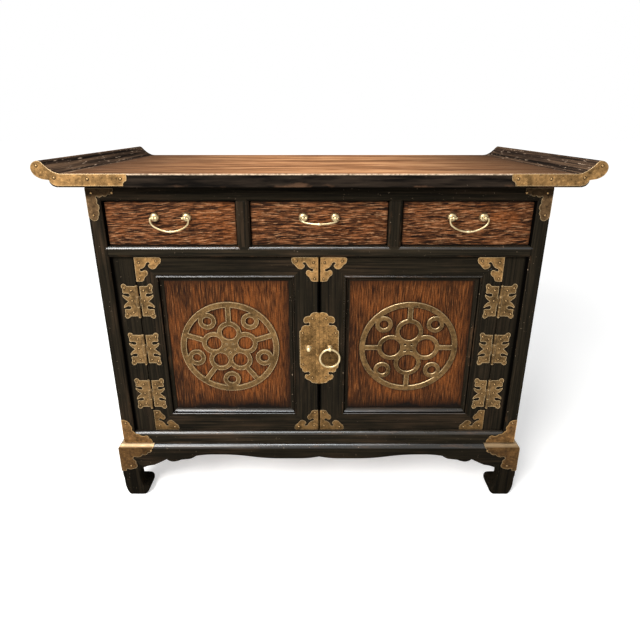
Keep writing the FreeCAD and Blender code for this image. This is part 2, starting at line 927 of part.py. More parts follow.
# Outlines of the brass mounts in shares of their own size, each arc given by a point that it passes
corner_shares = [
    (0, 0),
    (1, 0),
    (1, 0.11),
    (0.92, 0.3, 0.995, 0.23),
    (0.84, 0.38),
    (0.595, 0.43, 0.72, 0.487),
    (0.573, 0.338, 0.555, 0.389),
    (0.475, 0.298, 0.577, 0.206),
    (0.298, 0.475),
    (0.338, 0.573, 0.206, 0.577),
    (0.43, 0.595, 0.389, 0.555),
    (0.38, 0.84, 0.487, 0.72),
    (0.3, 0.92),
    (0.11, 1, 0.23, 0.995),
    (0, 1),
]
leaf_upper_shares = [
    (0.68, 0.92),
    (0.92, 0.8, 0.9, 1),
    (0.97, 0.62, 1, 0.71),
    (0.79, 0.56),
    (0.79, 0.46, 0.67, 0.51),
    (0.98, 0.43),
    (0.8, 0.22, 1, 0.29),
    (0.72, 0.16),
    (0.9, 0, 0.89, 0.1),
]
lock_upper_shares = [
    (0.44, 0.94, 0.24, 1),
    (0.74, 0.735, 0.78, 0.885),
    (0.62, 0.735),
    (0.57, 0.685, 0.5, 0.722),
    (0.7, 0.665),
    (0.88, 0.575, 0.84, 0.65),
    (1, 0.48, 0.985, 0.54),
    (1, 0),
]
upper_plate_shares = [
    (0, 0),
    (1, 0),
    (0.93, 0.16, 0.99, 0.1),
    (0.8, 0.18, 0.865, 0.2),
    (0.6, 0.22, 0.7, 0.25),
    (0.39, 0.24, 0.5, 0.275),
    (0.36, 0.28),
    (0.37, 0.46, 0.395, 0.37),
    (0.385, 0.68, 0.44, 0.57),
    (0.35, 0.85, 0.405, 0.77),
    (0.1, 0.97, 0.23, 1),
    (0, 0.88),
]
lower_plate_shares = [
    (0, 0),
    (1, 0),
    (0.93, 0.17, 0.985, 0.1),
    (0.78, 0.3, 0.87, 0.28),
    (0.62, 0.31, 0.7, 0.275),
    (0.46, 0.38, 0.53, 0.37),
    (0.38, 0.5),
    (0.34, 0.6, 0.33, 0.54),
    (0.28, 0.78, 0.34, 0.7),
    (0.28, 0.84),
    (0, 1, 0.17, 0.98),
]
leg_plate_shares = [
    (0, 0),
    (1, 0),
    (0.93, 0.15, 0.98, 0.08),
    (0.82, 0.27, 0.91, 0.25),
    (0.66, 0.36, 0.76, 0.36),
    (0.44, 0.44, 0.56, 0.45),
    (0.385, 0.56, 0.375, 0.5),
    (0.43, 0.7, 0.44, 0.62),
    (0.36, 0.91, 0.46, 0.83),
    (0.16, 0.915, 0.26, 0.94),
    (0, 1, 0.09, 0.985),
]


# An outline given down to its middle, with the lower half as its mirror image
def with_lower_half(shares):
    lower = []
    for number in range(len(shares) - 2, -1, -1):
        via = shares[number + 1][2:]
        corner = shares[number]
        lower.append((corner[0], -corner[1]) + ((via[0], -via[1]) if via else ()))
    return shares + lower


def signed(outline, across, up):
    return [
        tuple(
            f"{across} * ({formula})" if number % 2 == 0 else f"{up} * ({formula})"
            for number, formula in enumerate(corner)
        )
        for corner in outline
    ]


def door_corner(label, across, up):
    x = "-door_outer" if across > 0 else "-door_inner"
    z = "door_top" if up < 0 else "door_bottom"
    outline = signed(scaled(corner_shares, "corner_arm", "corner_arm"), across, up)
    return padded(label, "XZ_Plane", outline, "brass_thickness", (x, "door_front", z))


# Surface hinges: a cloud-edged leaf each side of the gap, knuckles in turn on one pin
def hinge_leaf(label, side, height, knuckles):
    edge = "(knuckle_radius + 2 * knuckle_gap)"
    shares = with_lower_half(leaf_upper_shares)
    outline = scaled(shares, "leaf_width", "hinge_height / 2")
    outline += [(edge, "-0.46 * hinge_height"), (edge, "0.46 * hinge_height")]
    at = ("-hinge_line", "door_front", height)
    leaf = padded(label + "_leaf", "XZ_Plane", flipped(outline, side), "leaf_thickness", at)
    pieces = [leaf]
    third = "(0.92 * hinge_height / 3)"
    for number in knuckles:
        low = f"({height}) + ({number} - 0.5) * {third} + knuckle_gap / 2"
        axis_at = ("-hinge_line", "hinge_front", low)
        barrel = cylinder(f"{label}_barrel", "knuckle_radius", f"{third} - knuckle_gap", axis_at)
        near, far = ("-hinge_line", f"-hinge_line + {edge} + 1")
        if side < 0:
            near, far = (f"-hinge_line - {edge} - 1", "-hinge_line")
        tab = box(
            f"{label}_tab",
            (near, far),
            ("door_front - leaf_thickness", "door_front"),
            (low, f"{low} + {third} - knuckle_gap"),
        )
        pieces += [barrel, tab]
    bore_at = ("-hinge_line", "hinge_front", f"{height} - hinge_height")
    bore = cylinder(label + "_bore", "pin_radius + pin_fit", "2 * hinge_height", bore_at)
    return cut(label, fuse(label + "_blank", pieces), [bore])


def hinge_pin(label, height):
    foot = f"{height} - 0.46 * hinge_height - pin_overrun"
    length = "0.92 * hinge_height + 2 * pin_overrun"
    return cylinder(label, "pin_radius", length, ("-hinge_line", "hinge_front", foot))


def make_hinges():
    door_leaves = []
    frame_leaves = []
    pins = []
    for number, word in ((-1, "low"), (0, "mid"), (1, "high")):
        height = f"door_middle + {number} * hinge_spacing"
        door_leaves.append(hinge_leaf(f"{word}_door_leaf", 1, height, [0]))
        frame_leaves.append(hinge_leaf(f"{word}_frame_leaf", -1, height, [-1, 1]))
        pins.append(hinge_pin(f"{word}_pin", height))
    frame_leaves += [mirrored("right_" + leaf.Name, leaf) for leaf in frame_leaves]
    pins += [mirrored("right_" + pin.Name, pin) for pin in pins]
    keep_both({"door_hinge_leaves": group("left_door_hinge_leaves", door_leaves)})
    keep(group("frame_hinge_leaves", frame_leaves), group("hinge_pins", pins))


# Turned post with a ball that is bored across, standing out from its plate along -Y
def eye_outline(collar, rise, stem, ball, standoff):
    foot = f"({standoff} - sqrt(({ball})^2 - ({stem})^2))"
    return [
        ("0", "0"),
        (collar, "0"),
        (stem, rise, f"0.76 * ({collar})", f"0.72 * ({rise})"),
        (stem, foot),
        ("0", f"{standoff} + {ball}", ball, standoff),
    ]


def eye_post(label, outline, standoff, bore, at):
    body = revolved(label, outline, at)
    turn(body, x_axis, 90)
    hole = new_sketch(body, "YZ_Plane")
    circle(hole, "0", standoff, bore)
    doc.recompute()
    add_pocket(body, hole, "4 * (" + bore + ")")
    return body


def make_door_mounts():
    corners = []
    for across, side in ((1, "outer"), (-1, "inner")):
        for up, end in ((-1, "top"), (1, "bottom")):
            corners.append(door_corner(f"{side}_{end}_corner", across, up))
    seam = "lock_seam / 2"
    outline = scaled(with_lower_half(lock_upper_shares), "lock_half_width", "lock_half_height")
    outline += [(seam, "-0.965 * lock_half_height"), (seam, "0.965 * lock_half_height")]
    plate = padded(
        "lock_half",
        "XZ_Plane",
        flipped(outline, -1),
        "brass_thickness",
        ("0", "door_front", "door_middle - lock_drop"),
    )
    post = eye_outline(
        "eye_collar_radius", "eye_collar_height", "eye_stem_radius", "eye_ball_radius", "eye_standoff"
    )
    at = ("-eye_spread", "door_front - brass_thickness", "eye_height")
    eye = eye_post("lock_eye", post, "eye_standoff", "eye_hole_radius", at)
    keep_both(
        {
            "door_corner_plates": group("left_door_corner_plates", corners),
            "lock_plate": group("left_lock_plate", [plate, eye]),
        }
    )
    ring = doc.addObject("Part::Torus", "pull_ring")
    bind(ring, "Radius1", "ring_radius")
    bind(ring, "Radius2", "ring_wire_radius")
    turn(ring, x_axis, 90)
    place(ring, ("eye_spread", "door_front - brass_thickness - eye_standoff", "eye_height - ring_radius"))
    keep(ring)
    keep(
        medallion("left_medallion", "left_petals", "left_petal_ring", "left_petal_radius", -1),
        medallion("right_medallion", "right_petals", "right_petal_ring", "right_petal_radius", 1),
    )


def make_case_mounts():
    joint = ("-board_half", "top_front", "top_under")
    reach = "top_plate_reach"
    outline = [
        (f"{reach} - 8", "top_plate_lift"),
        (f"{reach} - 5", "0.42 * top_thickness", f"{reach} - 8.5", "0.3 * top_thickness"),
        (reach, "0.68 * top_thickness", f"{reach} - 1.2", "0.5 * top_thickness"),
        (reach, "top_thickness"),
    ] + scroll_edge("top_plate_lift")
    top = padded("left_top_plate", "XZ_Plane", outline, "brass_thickness", joint)
    keep(group("top_corner_plates", [top, mirrored("right_top_plate", top)]))

    upper = padded(
        "left_upper_plate",
        "XZ_Plane",
        signed(scaled(upper_plate_shares, "upper_plate_reach", "upper_plate_height"), 1, -1),
        "brass_thickness",
        ("-body_half", "body_front", "top_under - upper_plate_drop"),
    )
    lower = padded(
        "left_lower_plate",
        "XZ_Plane",
        scaled(lower_plate_shares, "lower_plate_reach", "lower_plate_height"),
        "brass_thickness",
        ("-body_half", "body_front", "base_height + plate_lift"),
    )
    plates = [upper, lower, mirrored("right_upper_plate", upper), mirrored("right_lower_plate", lower)]
    keep(group("post_corner_plates", plates))

    # Leg mounts are bent over the ledge and wrap the front and the side of the base
    skin = "brass_thickness"
    bend = "(base_proud - bend_ease)"
    outer = base_corner("leg_skin_outer", skin, f"{bend} + {skin}")
    inner = base_corner("leg_skin_inner", "0", bend)
    far = "2 * leg_plate_reach"
    clear = box(
        "leg_skin_clear",
        ("-body_half - plate_gap", f"-body_half + {far}"),
        ("body_front - plate_gap", f"body_front + {far}"),
        ("base_height", f"base_height + 2 * {skin}"),
    )
    shell = cut("leg_skin", outer, [inner, clear])
    at = (f"-base_half - {skin}", f"base_front - {skin}", f"base_height + {skin}")
    outline = signed(scaled(leg_plate_shares, "leg_plate_reach", "leg_plate_height"), 1, -1)
    depth = f"base_proud + {skin}"
    front = padded("leg_plate_front", "XZ_Plane", outline, depth, at, behind=True)
    side = padded("leg_plate_side", "YZ_Plane", outline, depth, at)
    wrap = common("left_leg_plate", shell, fuse("leg_plate_views", [front, side]))
    keep(group("leg_corner_plates", [wrap, mirrored("right_leg_plate", wrap)]))


# Block of the base's front left corner with its top edges rounded, grown outwards by a layer
def base_corner(label, proud, radius):
    far = "2 * leg_plate_reach"
    block = box(
        label + "_block",
        (f"-base_half - {proud}", f"-base_half + {far}"),
        (f"base_front - {proud}", f"base_front + {far}"),
        ("0", f"base_height + {proud}"),
    )
    return cut(label, block, [ledge_round(label + "_round", proud, radius)])


# Length of bent wire, part of a torus
def wire_bend(label, bend, angle, rotation, at):
    item = doc.addObject("Part::Torus", label)
    bind(item, "Radius1", bend)
    bind(item, "Radius2", "bail_wire_radius")
    bind(item, "Angle3", angle)
    item.Placement.Rotation = rotation
    place(item, at)
    return item


# Bail hanging under its pivot: ends turned in for the eyes, arms down, and a shallow bow between them
def make_bail_wire():
    upright = FreeCAD.Rotation(FreeCAD.Vector(*x_axis), 90)
    downward = FreeCAD.Rotation(FreeCAD.Vector(*x_axis), -90)
    from_bottom = upright * FreeCAD.Rotation(FreeCAD.Vector(*z_axis), -90)
    wire = "bail_wire_radius"
    pin_length = "bail_half - bail_bend_radius - bail_pin_end"
    pin = cylinder("bail_pin", wire, pin_length, ("bail_pin_end", "0", "0"))
    head = cylinder("bail_head", "bail_head_radius", "bail_head_length", ("bail_pin_end", "0", "0"))
    bead = cone("bail_bead", "bail_bead_radius", wire, "bail_bead_length / 2", ("0", "0", "-bail_drop"))
    for piece in (pin, head, bead):
        turn(piece, y_axis, 90)
    elbow_at = ("bail_half - bail_bend_radius", "0", "-bail_bend_radius")
    arm_at = ("bail_half", "0", "-bail_arm_length")
    half = fuse(
        "bail_right_half",
        [
            head,
            pin,
            wire_bend("bail_elbow", "bail_bend_radius", "90 deg", upright, elbow_at),
            cylinder("bail_arm", wire, "bail_arm_length - bail_bend_radius", arm_at),
            wire_bend(
                "bail_corner",
                "bail_corner_radius",
                "acos(bail_lean)",
                downward,
                ("bail_inward", "0", "-bail_arm_length"),
            ),
            wire_bend(
                "bail_bow_half",
                "bail_bow",
                "asin(bail_lean)",
                from_bottom,
                ("0", "0", "bail_bow - bail_drop"),
            ),
            bead,
        ],
    )
    return fuse("bail_wire", [half, mirrored("bail_left_half", half)])


def make_drawer(name, low, high, bail_wire):
    front = box(
        name + "_drawer_front",
        (f"{low} + fit_gap", f"{high} - fit_gap"),
        ("door_front", "door_front + drawer_front_thickness"),
        ("drawer_floor + fit_gap", "drawer_head - fit_gap"),
    )
    outer_low = f"{low} + fit_gap + drawer_side_inset"
    outer_high = f"{high} - fit_gap - drawer_side_inset"
    inner_low = f"{outer_low} + drawer_side_thickness"
    inner_high = f"{outer_high} - drawer_side_thickness"
    bottom = "drawer_floor + runner_gap"
    heights = (bottom, f"{bottom} + drawer_side_height")
    depth = ("door_front + drawer_front_thickness", "drawer_back")
    back_inside = "drawer_back - drawer_side_thickness"
    floor = f"{bottom} + drawer_bottom_lift"
    walls = [
        box(name + "_low_side", (outer_low, inner_low), depth, heights),
        box(name + "_high_side", (inner_high, outer_high), depth, heights),
        box(name + "_back", (inner_low, inner_high), (back_inside, depth[1]), heights),
        box(
            name + "_bottom",
            (inner_low, inner_high),
            (depth[0], back_inside),
            (floor, f"{floor} + drawer_bottom_thickness"),
        ),
    ]
    centre = f"({low} + {high}) / 2"
    outline = eye_outline(
        "rosette_radius", "rosette_height", "pull_stem_radius", "pull_ball_radius", "pull_standoff"
    )
    posts = []
    for sign, word in ((-1, "low"), (1, "high")):
        at = (f"{centre} + {sign} * pull_spacing / 2", "door_front", "pull_height")
        bore = "bail_wire_radius + bail_fit"
        posts.append(eye_post(f"{name}_{word}_post", outline, "pull_standoff", bore, at))
    bail = group(name + "_bail", [bail_wire])
    place(bail, (centre, "door_front - pull_standoff", "pull_height"))
    keep(
        front,
        group(name + "_drawer_box", walls),
        group(name + "_drawer_pull_posts", posts),
        bail,
    )
    return bail


def make_drawers():
    bail_wire = make_bail_wire()
    inner = "(divider_centre - divider_width / 2)"
    make_drawer("left", "-post_inside", "-drawer_divide", bail_wire)
    middle_bail = make_drawer("middle", f"-{inner}", inner, bail_wire)
    make_drawer("right", "drawer_divide", "post_inside", bail_wire)
    middle_bail.Placement.Rotation = FreeCAD.Rotation(FreeCAD.Vector(-1, 0, 0), 1)
    bind(middle_bail, "Placement.Rotation.Angle", "middle_bail_raised_degrees")


def write_parts():
    doc.recompute()
    failed = [item.Name for item in doc.Objects if {"Invalid", "Error"} & set(item.State)]
    failed += [item.Label for item in nodes if item.Shape.isNull() or not item.Shape.isValid()]
    if failed:
        raise RuntimeError("not built: " + ", ".join(failed))
    os.makedirs("parts", exist_ok=True)
    for item in nodes:
        item.Shape.exportStep(f"parts/{item.Label}.step")
        print(item.Label, len(item.Shape.Solids), round(item.Shape.Volume))


fill_sheets()
make_top()
make_case()
make_inside()
make_base()
make_door_frame()
make_hinges()
make_door_mounts()
make_case_mounts()
make_drawers()
write_parts()
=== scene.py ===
import math
import bpy
import bmesh
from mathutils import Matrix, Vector


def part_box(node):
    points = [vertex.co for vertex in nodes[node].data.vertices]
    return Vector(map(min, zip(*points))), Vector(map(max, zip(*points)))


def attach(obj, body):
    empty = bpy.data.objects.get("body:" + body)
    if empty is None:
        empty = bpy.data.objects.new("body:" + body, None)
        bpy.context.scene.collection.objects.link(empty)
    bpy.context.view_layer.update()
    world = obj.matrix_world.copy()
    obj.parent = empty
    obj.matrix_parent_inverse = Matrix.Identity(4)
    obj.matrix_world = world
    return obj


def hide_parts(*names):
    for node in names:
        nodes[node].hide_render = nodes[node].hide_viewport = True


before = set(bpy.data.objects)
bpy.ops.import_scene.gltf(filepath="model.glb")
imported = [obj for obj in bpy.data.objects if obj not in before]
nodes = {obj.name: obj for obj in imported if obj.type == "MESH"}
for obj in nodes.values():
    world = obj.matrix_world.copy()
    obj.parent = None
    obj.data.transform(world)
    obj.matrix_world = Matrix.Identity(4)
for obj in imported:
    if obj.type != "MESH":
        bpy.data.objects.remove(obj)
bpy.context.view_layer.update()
noiseRange = (0.3, 0.7)  # most of a noise texture lies between these
weldReach = 0.00001
print("sideboard frame loaded,", len(nodes), "pieces of joinery and brass")


def shade(red, green, blue):
    # screen values 0-255 to the linear colour that shaders take
    def linear(value):
        value /= 255
        return value / 12.92 if value <= 0.04045 else ((value + 0.055) / 1.055) ** 2.4
    return (linear(red), linear(green), linear(blue), 1.0)


class Finish:
    # one material, with short calls for the nodes that it is made of
    def __init__(self, name, **sockets):
        self.material = bpy.data.materials.new(name)
        self.material.use_nodes = True
        self.tree = self.material.node_tree
        self.tree.nodes.clear()
        self.shader = self.add("BsdfPrincipled", sockets)
        self.add("OutputMaterial", {"Surface": self.shader.outputs[0]})
        spot = self.add("TexCoord")
        self.place = spot.outputs["Object"]
        self.normal = spot.outputs["Normal"]

    def add(self, kind, inputs=None, **settings):
        made = self.tree.nodes.new("ShaderNode" + kind)
        for key, value in settings.items():
            setattr(made, key, value)
        for key, value in (inputs or {}).items():
            self.feed(made.inputs[key], value)
        return made

    def feed(self, socket, value):
        if isinstance(value, bpy.types.NodeSocket):
            self.tree.links.new(value, socket)
        else:
            socket.default_value = value

    def set(self, **sockets):
        for key, value in sockets.items():
            self.feed(self.shader.inputs[key.replace("_", " ")], value)

    def math(self, operation, first, second=0.0):
        return self.add("Math", {0: first, 1: second}, operation=operation).outputs[0]

    def times(self, first, second):
        return self.math("MULTIPLY", first, second)

    def plus(self, first, second):
        return self.math("ADD", first, second)

    def blend(self, shares, *values):
        # the values added up, each by its share
        parts = [self.times(value, share) for value, share in zip(values, shares)]
        total = parts.pop()
        while parts:
            total = self.plus(parts.pop(), total)
        return total

    def stretch(self, place, factors):
        return self.add("VectorMath", {0: place, 1: factors}, operation="MULTIPLY").outputs[0]

    def scaled(self, color, factor):
        return self.add("VectorMath", {0: color, "Scale": factor}, operation="SCALE").outputs[0]

    def shift(self, place, axis, offset):
        offset = self.add("CombineXYZ", {axis: offset}).outputs[0]
        return self.add("VectorMath", {0: place, 1: offset}, operation="ADD").outputs[0]

    def noise(self, place, scale, detail=4.0, rough=0.55, distort=0.0):
        # scale is one number, or one for each axis
        if isinstance(scale, tuple):
            place, scale = self.stretch(place, scale), 1.0
        inputs = {"Vector": place, "Scale": scale, "Detail": detail}
        return self.add("TexNoise", {**inputs, "Roughness": rough, "Distortion": distort}).outputs[0]

    def span(self, value, low, high, start=0.0, end=1.0):
        inputs = {0: value, 1: low, 2: high, 3: start, 4: end}
        return self.add("MapRange", inputs).outputs[0]

    def ramp(self, value, stops):
        stops = list(stops)
        made = self.add("ValToRGB", {0: value})
        points = made.color_ramp.elements
        while len(points) < len(stops):
            points.new(0.5)
        for point, (where, color) in zip(points, stops):
            point.position = where
            point.color = color
        return made.outputs[0]

    def mix(self, factor, first, second):
        return self.add("Mix", {0: factor, 6: first, 7: second}, data_type="RGBA").outputs[2]

    def axes(self, vector):
        return self.add("SeparateXYZ", {0: vector}).outputs

    def fibre(self, along):
        # turns the place so that the grain runs along its first axis
        x, y, z = self.axes(self.place)
        order = {"X": (x, y, z), "Y": (y, x, z), "Z": (z, x, y)}[along]
        return self.add("CombineXYZ", dict(enumerate(order))).outputs[0]

    def edges(self, radius, low=0.03, high=0.22):
        # 1 along sharp edges, 0 on flat faces
        rounded = self.add("Bevel", {"Radius": radius}, samples=6).outputs[0]
        flat = self.add("NewGeometry").outputs["Normal"]
        same = self.add("VectorMath", {0: rounded, 1: flat}, operation="DOT_PRODUCT").outputs["Value"]
        return self.span(same, 1 - low, 1 - high)

    def rounds(self):
        # 1 where a surface turns away from the front at 45 degrees, 0 on faces square to it
        front = self.axes(self.normal)[1]
        square = self.times(front, front)
        return self.times(self.times(square, self.math("SUBTRACT", 1.0, square)), 4.0)

    def crevice(self, reach):
        # 1 in the open, less in corners and beside what stands proud
        return self.add("AmbientOcclusion", {"Distance": reach}, samples=8).outputs["AO"]

    def upward(self, low, high, start=0.0, end=1.0):
        return self.span(self.axes(self.normal)[2], low, high, start, end)

    def bump(self, height, distance, strength=1.0):
        inputs = {"Height": height, "Distance": distance, "Strength": strength}
        self.set(Normal=self.add("Bump", inputs).outputs[0])

    def dress(self, *names):
        for name in names:
            nodes[name].data.materials.clear()
            nodes[name].data.materials.append(self.material)


def makePiece(name, shape, body, slot, *finishes):
    mesh = bpy.data.meshes.new(name)
    shape.to_mesh(mesh)
    shape.free()
    for finish in finishes:
        mesh.materials.append(finish.material)
    piece = bpy.data.objects.new(name, mesh)
    bpy.context.scene.collection.objects.link(piece)
    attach(piece, body)
    return piece


def makeStandIn(name, node, shape, body, slot, finish):
    # a closer-drawn piece in the place of a node of the joinery
    bmesh.ops.recalc_face_normals(shape, faces=shape.faces[:])
    piece = makePiece(name, shape, body, slot, finish)
    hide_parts(node)
    return piece


def cutCopy(node, *planes):
    # the node's shape without what lies beyond the planes
    shape = bmesh.new()
    shape.from_mesh(nodes[node].data)
    bmesh.ops.remove_doubles(shape, verts=shape.verts[:], dist=weldReach)
    for point, outward in planes:
        whole = shape.verts[:] + shape.edges[:] + shape.faces[:]
        bmesh.ops.bisect_plane(shape, geom=whole, plane_co=point, plane_no=outward, clear_outer=True)
    bmesh.ops.holes_fill(shape, edges=[edge for edge in shape.edges if edge.is_boundary])
    return shape


# ebonized frame: black-brown lacquer, rubbed brown in patches and nicked along its rounded edges
# here and below, noises are scaled along and across the grain, and a span runs from low to high, start to end
lacquerLook = {
    "ink": shade(25, 23, 19), "brown": shade(36, 32, 25), "umber": shade(51, 44, 34), "rub": shade(80, 62, 47),
    "bare": shade(120, 86, 58), "pale": shade(200, 174, 146), "roughness": (0.2, 0.34), "shine": 0.6,
    "streak": (7, 300, 300), "cloud": (6, 20, 20), "patch": (16, 60, 60), "speck": 240, "stops": (0.34, 0.5, 0.68),
    "rubCloud": (0.5, 0.74), "rubStreak": (0.38, 0.64), "rubbed": 0.75, "worn": (0.54, 0.72), "wornRound": 0.5,
    "nick": (0.7, 0.75), "fleck": (0.7, 0.76, 0.0, 0.45), "level": (0.1, 0.4), "dullShares": (1.0, 0.5),
    "dull": (0.5, 1.0), "reliefShares": (0.6, 0.4), "relief": (0.0003, 0.35),
    # painted shade in the quirk of a door's bead, the doors' meeting gap and the corner beside each post: middle and
    # half size of a door's panel, reach of each groove
    "quirk": shade(7, 6, 5), "centre": (0.19525, 0.378), "half": (0.14105, 0.1658), "meeting": (0.0052, 0.004),
    "recess": (0.418, 0.4225), "jamb": (0.4262, 0.4256), "quirkOut": (-0.0018, -0.002), "quirkIn": (-0.0038, -0.0034),
}


def paintedGrooveShade(finish, look):
    # painted shade: 1 in the quirk inside a door's bead, where the doors meet and in the corner beside each post
    x, _, z = finish.axes(finish.place)
    across = finish.math("ABSOLUTE", x)
    corner = finish.times(finish.span(across, *look["recess"]), finish.span(across, *look["jamb"]))
    reach = []
    for place, middle, half in zip((across, z), look["centre"], look["half"]):
        away = finish.math("ABSOLUTE", finish.math("SUBTRACT", place, middle))
        reach.append(finish.math("SUBTRACT", away, half))
    inward = finish.math("MAXIMUM", *reach)
    quirk = finish.times(finish.span(inward, *look["quirkOut"]), finish.span(inward, *look["quirkIn"]))
    return finish.math("MAXIMUM", finish.math("MAXIMUM", quirk, corner), finish.span(across, *look["meeting"]))


def makeLacquer(name, along, wear=1.0, tone=1.0, gloss=1.0, grooveShaded=False, look=lacquerLook):
    finish = Finish(name)
    grain = finish.fibre(along)
    streak = finish.noise(grain, look["streak"], detail=5, rough=0.62)
    cloud = finish.noise(grain, look["cloud"], detail=4)
    speck = finish.noise(finish.place, look["speck"], detail=3, rough=0.6)
    color = finish.ramp(streak, zip(look["stops"], (look["ink"], look["brown"], look["umber"])))
    rubbed = finish.times(finish.span(cloud, *look["rubCloud"]), finish.span(streak, *look["rubStreak"]))
    color = finish.mix(finish.times(rubbed, look["rubbed"] * wear), color, look["rub"])
    rounds = finish.rounds()
    patch = finish.noise(grain, look["patch"], detail=6, rough=0.7)
    worn = finish.times(rounds, finish.span(patch, *look["worn"]))
    color = finish.mix(finish.times(worn, look["wornRound"] * wear), color, look["bare"])
    nick = finish.plus(finish.times(rounds, finish.span(speck, *look["nick"])), finish.span(speck, *look["fleck"]))
    color = finish.mix(nick, finish.scaled(color, tone), look["pale"])
    shine = finish.upward(*look["level"], 0.0, gloss * look["shine"])
    # the quirk, meeting gap and post corner take painted shade and lose their shine
    if grooveShaded:
        grooveShade = paintedGrooveShade(finish, look)
        color = finish.mix(grooveShade, color, look["quirk"])
        shine = finish.times(shine, finish.math("SUBTRACT", 1.0, grooveShade))
    dull = finish.span(finish.blend(look["dullShares"], cloud, streak), *look["dull"], *look["roughness"])
    finish.set(Base_Color=color, Roughness=dull, Specular_IOR_Level=shine)
    finish.bump(finish.blend(look["reliefShares"], streak, speck), *look["relief"])
    return finish


levelLacquer = makeLacquer("lacquerLevel", "X")
levelLacquer.dress("drawer_rail", "front_bottom_rail", "back_rails")
uprightLacquer = makeLacquer("lacquerUpright", "Z", tone=0.82, grooveShaded=True)
uprightLacquer.dress(
    "front_left_post", "front_right_post", "back_left_post", "back_right_post", "drawer_dividers",
    "hinge_stiles", "side_panels", "left_door_stiles", "right_door_stiles")
makeLacquer("lacquerDoorLevel", "X", tone=0.82, grooveShaded=True).dress("left_door_rails", "right_door_rails")
makeLacquer("lacquerDeep", "Y").dress("side_rails", "side_aprons")
# the rail under the top board is darkened by tone 0.55: painted shade from the top's overhang
makeLacquer("lacquerPaintedShade", "X", wear=0.6, tone=0.55).dress("front_top_rail")
makeLacquer("lacquerApron", "X", tone=0.7).dress("front_apron", "back_apron")
footLacquer = makeLacquer("lacquerFoot", "Z", wear=0.5, tone=0.55, gloss=0.0)
footLacquer.dress("front_legs", "back_legs")
print("frame lacquered")

# hoof feet: the legs below the aprons, carved round with a slim neck and a flat-topped toe
footLook = {
    "cut": 0.078, "steps": 5,
    # in mm: the outer corner is tight where the brass plates wrap it
    "tight": 0.8, "plates": 50,
    # in mm: height, heel, front, toe across, toe behind, rounding of the toe, rounding of the other corners
    "rings": (
        (0, 12, 0.8, 43.5, 43, 9, 2), (0.8, 10, 0.3, 46.5, 46.5, 10.5, 2.5), (2.5, 7.8, 0, 49.5, 49.6, 12, 3),
        (6, 5.2, 0, 52.8, 52.9, 13, 4), (11, 3.2, 0, 54.7, 55, 14, 4.5), (15, 2.1, 0, 55, 55.5, 14, 4.5),
        (18, 1.5, 0, 53.8, 55, 13.5, 4.5), (20, 1.1, 0, 51.5, 53.2, 13, 4.5), (21.6, 0.8, 0, 48.5, 49.5, 12, 4.5),
        (23.2, 0.6, 0, 46.2, 44.5, 11, 4.5), (25.5, 0.4, 0, 44.4, 40, 10, 4.5), (29, 0.2, 0, 43, 36.5, 9.5, 4.5),
        (36, 0, 0, 41.3, 32.8, 9, 4.5), (46, 0, 0, 40.2, 30, 8.5, 4.5), (56, 0, 0, 40, 29, 8, 4.5),
        (62, 0, 0, 40.5, 29, 7, 4), (67, 0, 0, 42, 30.5, 5.5, 3), (71.5, 0, 0, 44.6, 35, 4, 2),
        (75, 0, 0, 47.3, 41.5, 2.5, 1.2), (78, 0, 0, 50, 50, 0.8, 0.8),
    ),
}


def footRing(look, level, heel, front, across, behind, toe, edge):
    # one level of a foot, measured in from the leg's outer front corner
    tight = edge if level < look["plates"] else look["tight"]
    corners = (
        (heel, front, 1, 1, tight), (across, front, -1, 1, edge),
        (across, behind, -1, -1, toe), (heel, behind, 1, -1, edge))
    ring = []
    for number, (x, y, inward, backward, radius) in enumerate(corners):
        for step in range(look["steps"] + 1):
            angle = math.pi / 2 * (number + 2 + step / look["steps"])
            aside, away = inward + math.cos(angle), backward + math.sin(angle)
            ring.append((x + radius * aside, y + radius * away, level))
    return ring


def makeFeet(name, node, backward, look=footLook):
    low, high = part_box(node)
    shape = cutCopy(node, ((0, 0, look["cut"]), (0, 0, -1)))
    front = low[1] if backward > 0 else high[1]
    for sign in (-1, 1):
        rings = []
        for level in look["rings"]:
            ring = []
            for x, y, z in footRing(look, *level):
                place = (sign * (high[0] - x / 1000), front + backward * y / 1000, z / 1000)
                ring.append(shape.verts.new(place))
            rings.append(ring)
        for below, above in zip(rings, rings[1:]):
            for step in range(len(below)):
                after = (step + 1) % len(below)
                shape.faces.new((below[step], below[after], above[after], above[step])).smooth = True
        shape.faces.new(rings[0])
        shape.faces.new(rings[-1])
    makeStandIn(name, node, shape, "cabinet", "ebonized_wood", footLacquer)


makeFeet("front_feet", "front_legs", 1)
makeFeet("back_feet", "back_legs", -1)

# fine bead round each door panel, in the corner between frame and moulding
beadLook = {"radius": 0.0019, "plane": -0.2252, "sides": 8, "across": (0.0542, 0.3363), "upward": (0.2122, 0.5438)}


def makeBead(name, body, sign, look=beadLook):
    shape = bmesh.new()
    left, right = look["across"]
    low, high = look["upward"]
    rings = []
    for x, z, aside, away in ((left, low, -1, -1), (right, low, 1, -1), (right, high, 1, 1), (left, high, -1, 1)):
        ring = []
        for step in range(look["sides"] + 1):
            angle = math.pi * step / look["sides"]
            reach = math.cos(angle) * look["radius"]
            out = look["plane"] - math.sin(angle) * look["radius"]
            ring.append(shape.verts.new((sign * (x + aside * reach), out, z + away * reach)))
        rings.append(ring)
    for number, ring in enumerate(rings):
        after = rings[(number + 1) % len(rings)]
        for step in range(len(ring)):
            past = (step + 1) % len(ring)
            face = shape.faces.new((ring[step], ring[past], after[past], after[step]))
            face.smooth = True
            face.material_index = number % 2
        for first, second in zip(ring, ring[1:]):
            shape.edges.get((first, second)).smooth = False
    bmesh.ops.recalc_face_normals(shape, faces=shape.faces[:])
    makePiece(name, shape, body, "ebonized_wood", levelLacquer, uprightLacquer)


makeBead("left_door_bead", "left_door", -1)
makeBead("right_door_bead", "right_door", 1)
print("feet and beads carved")

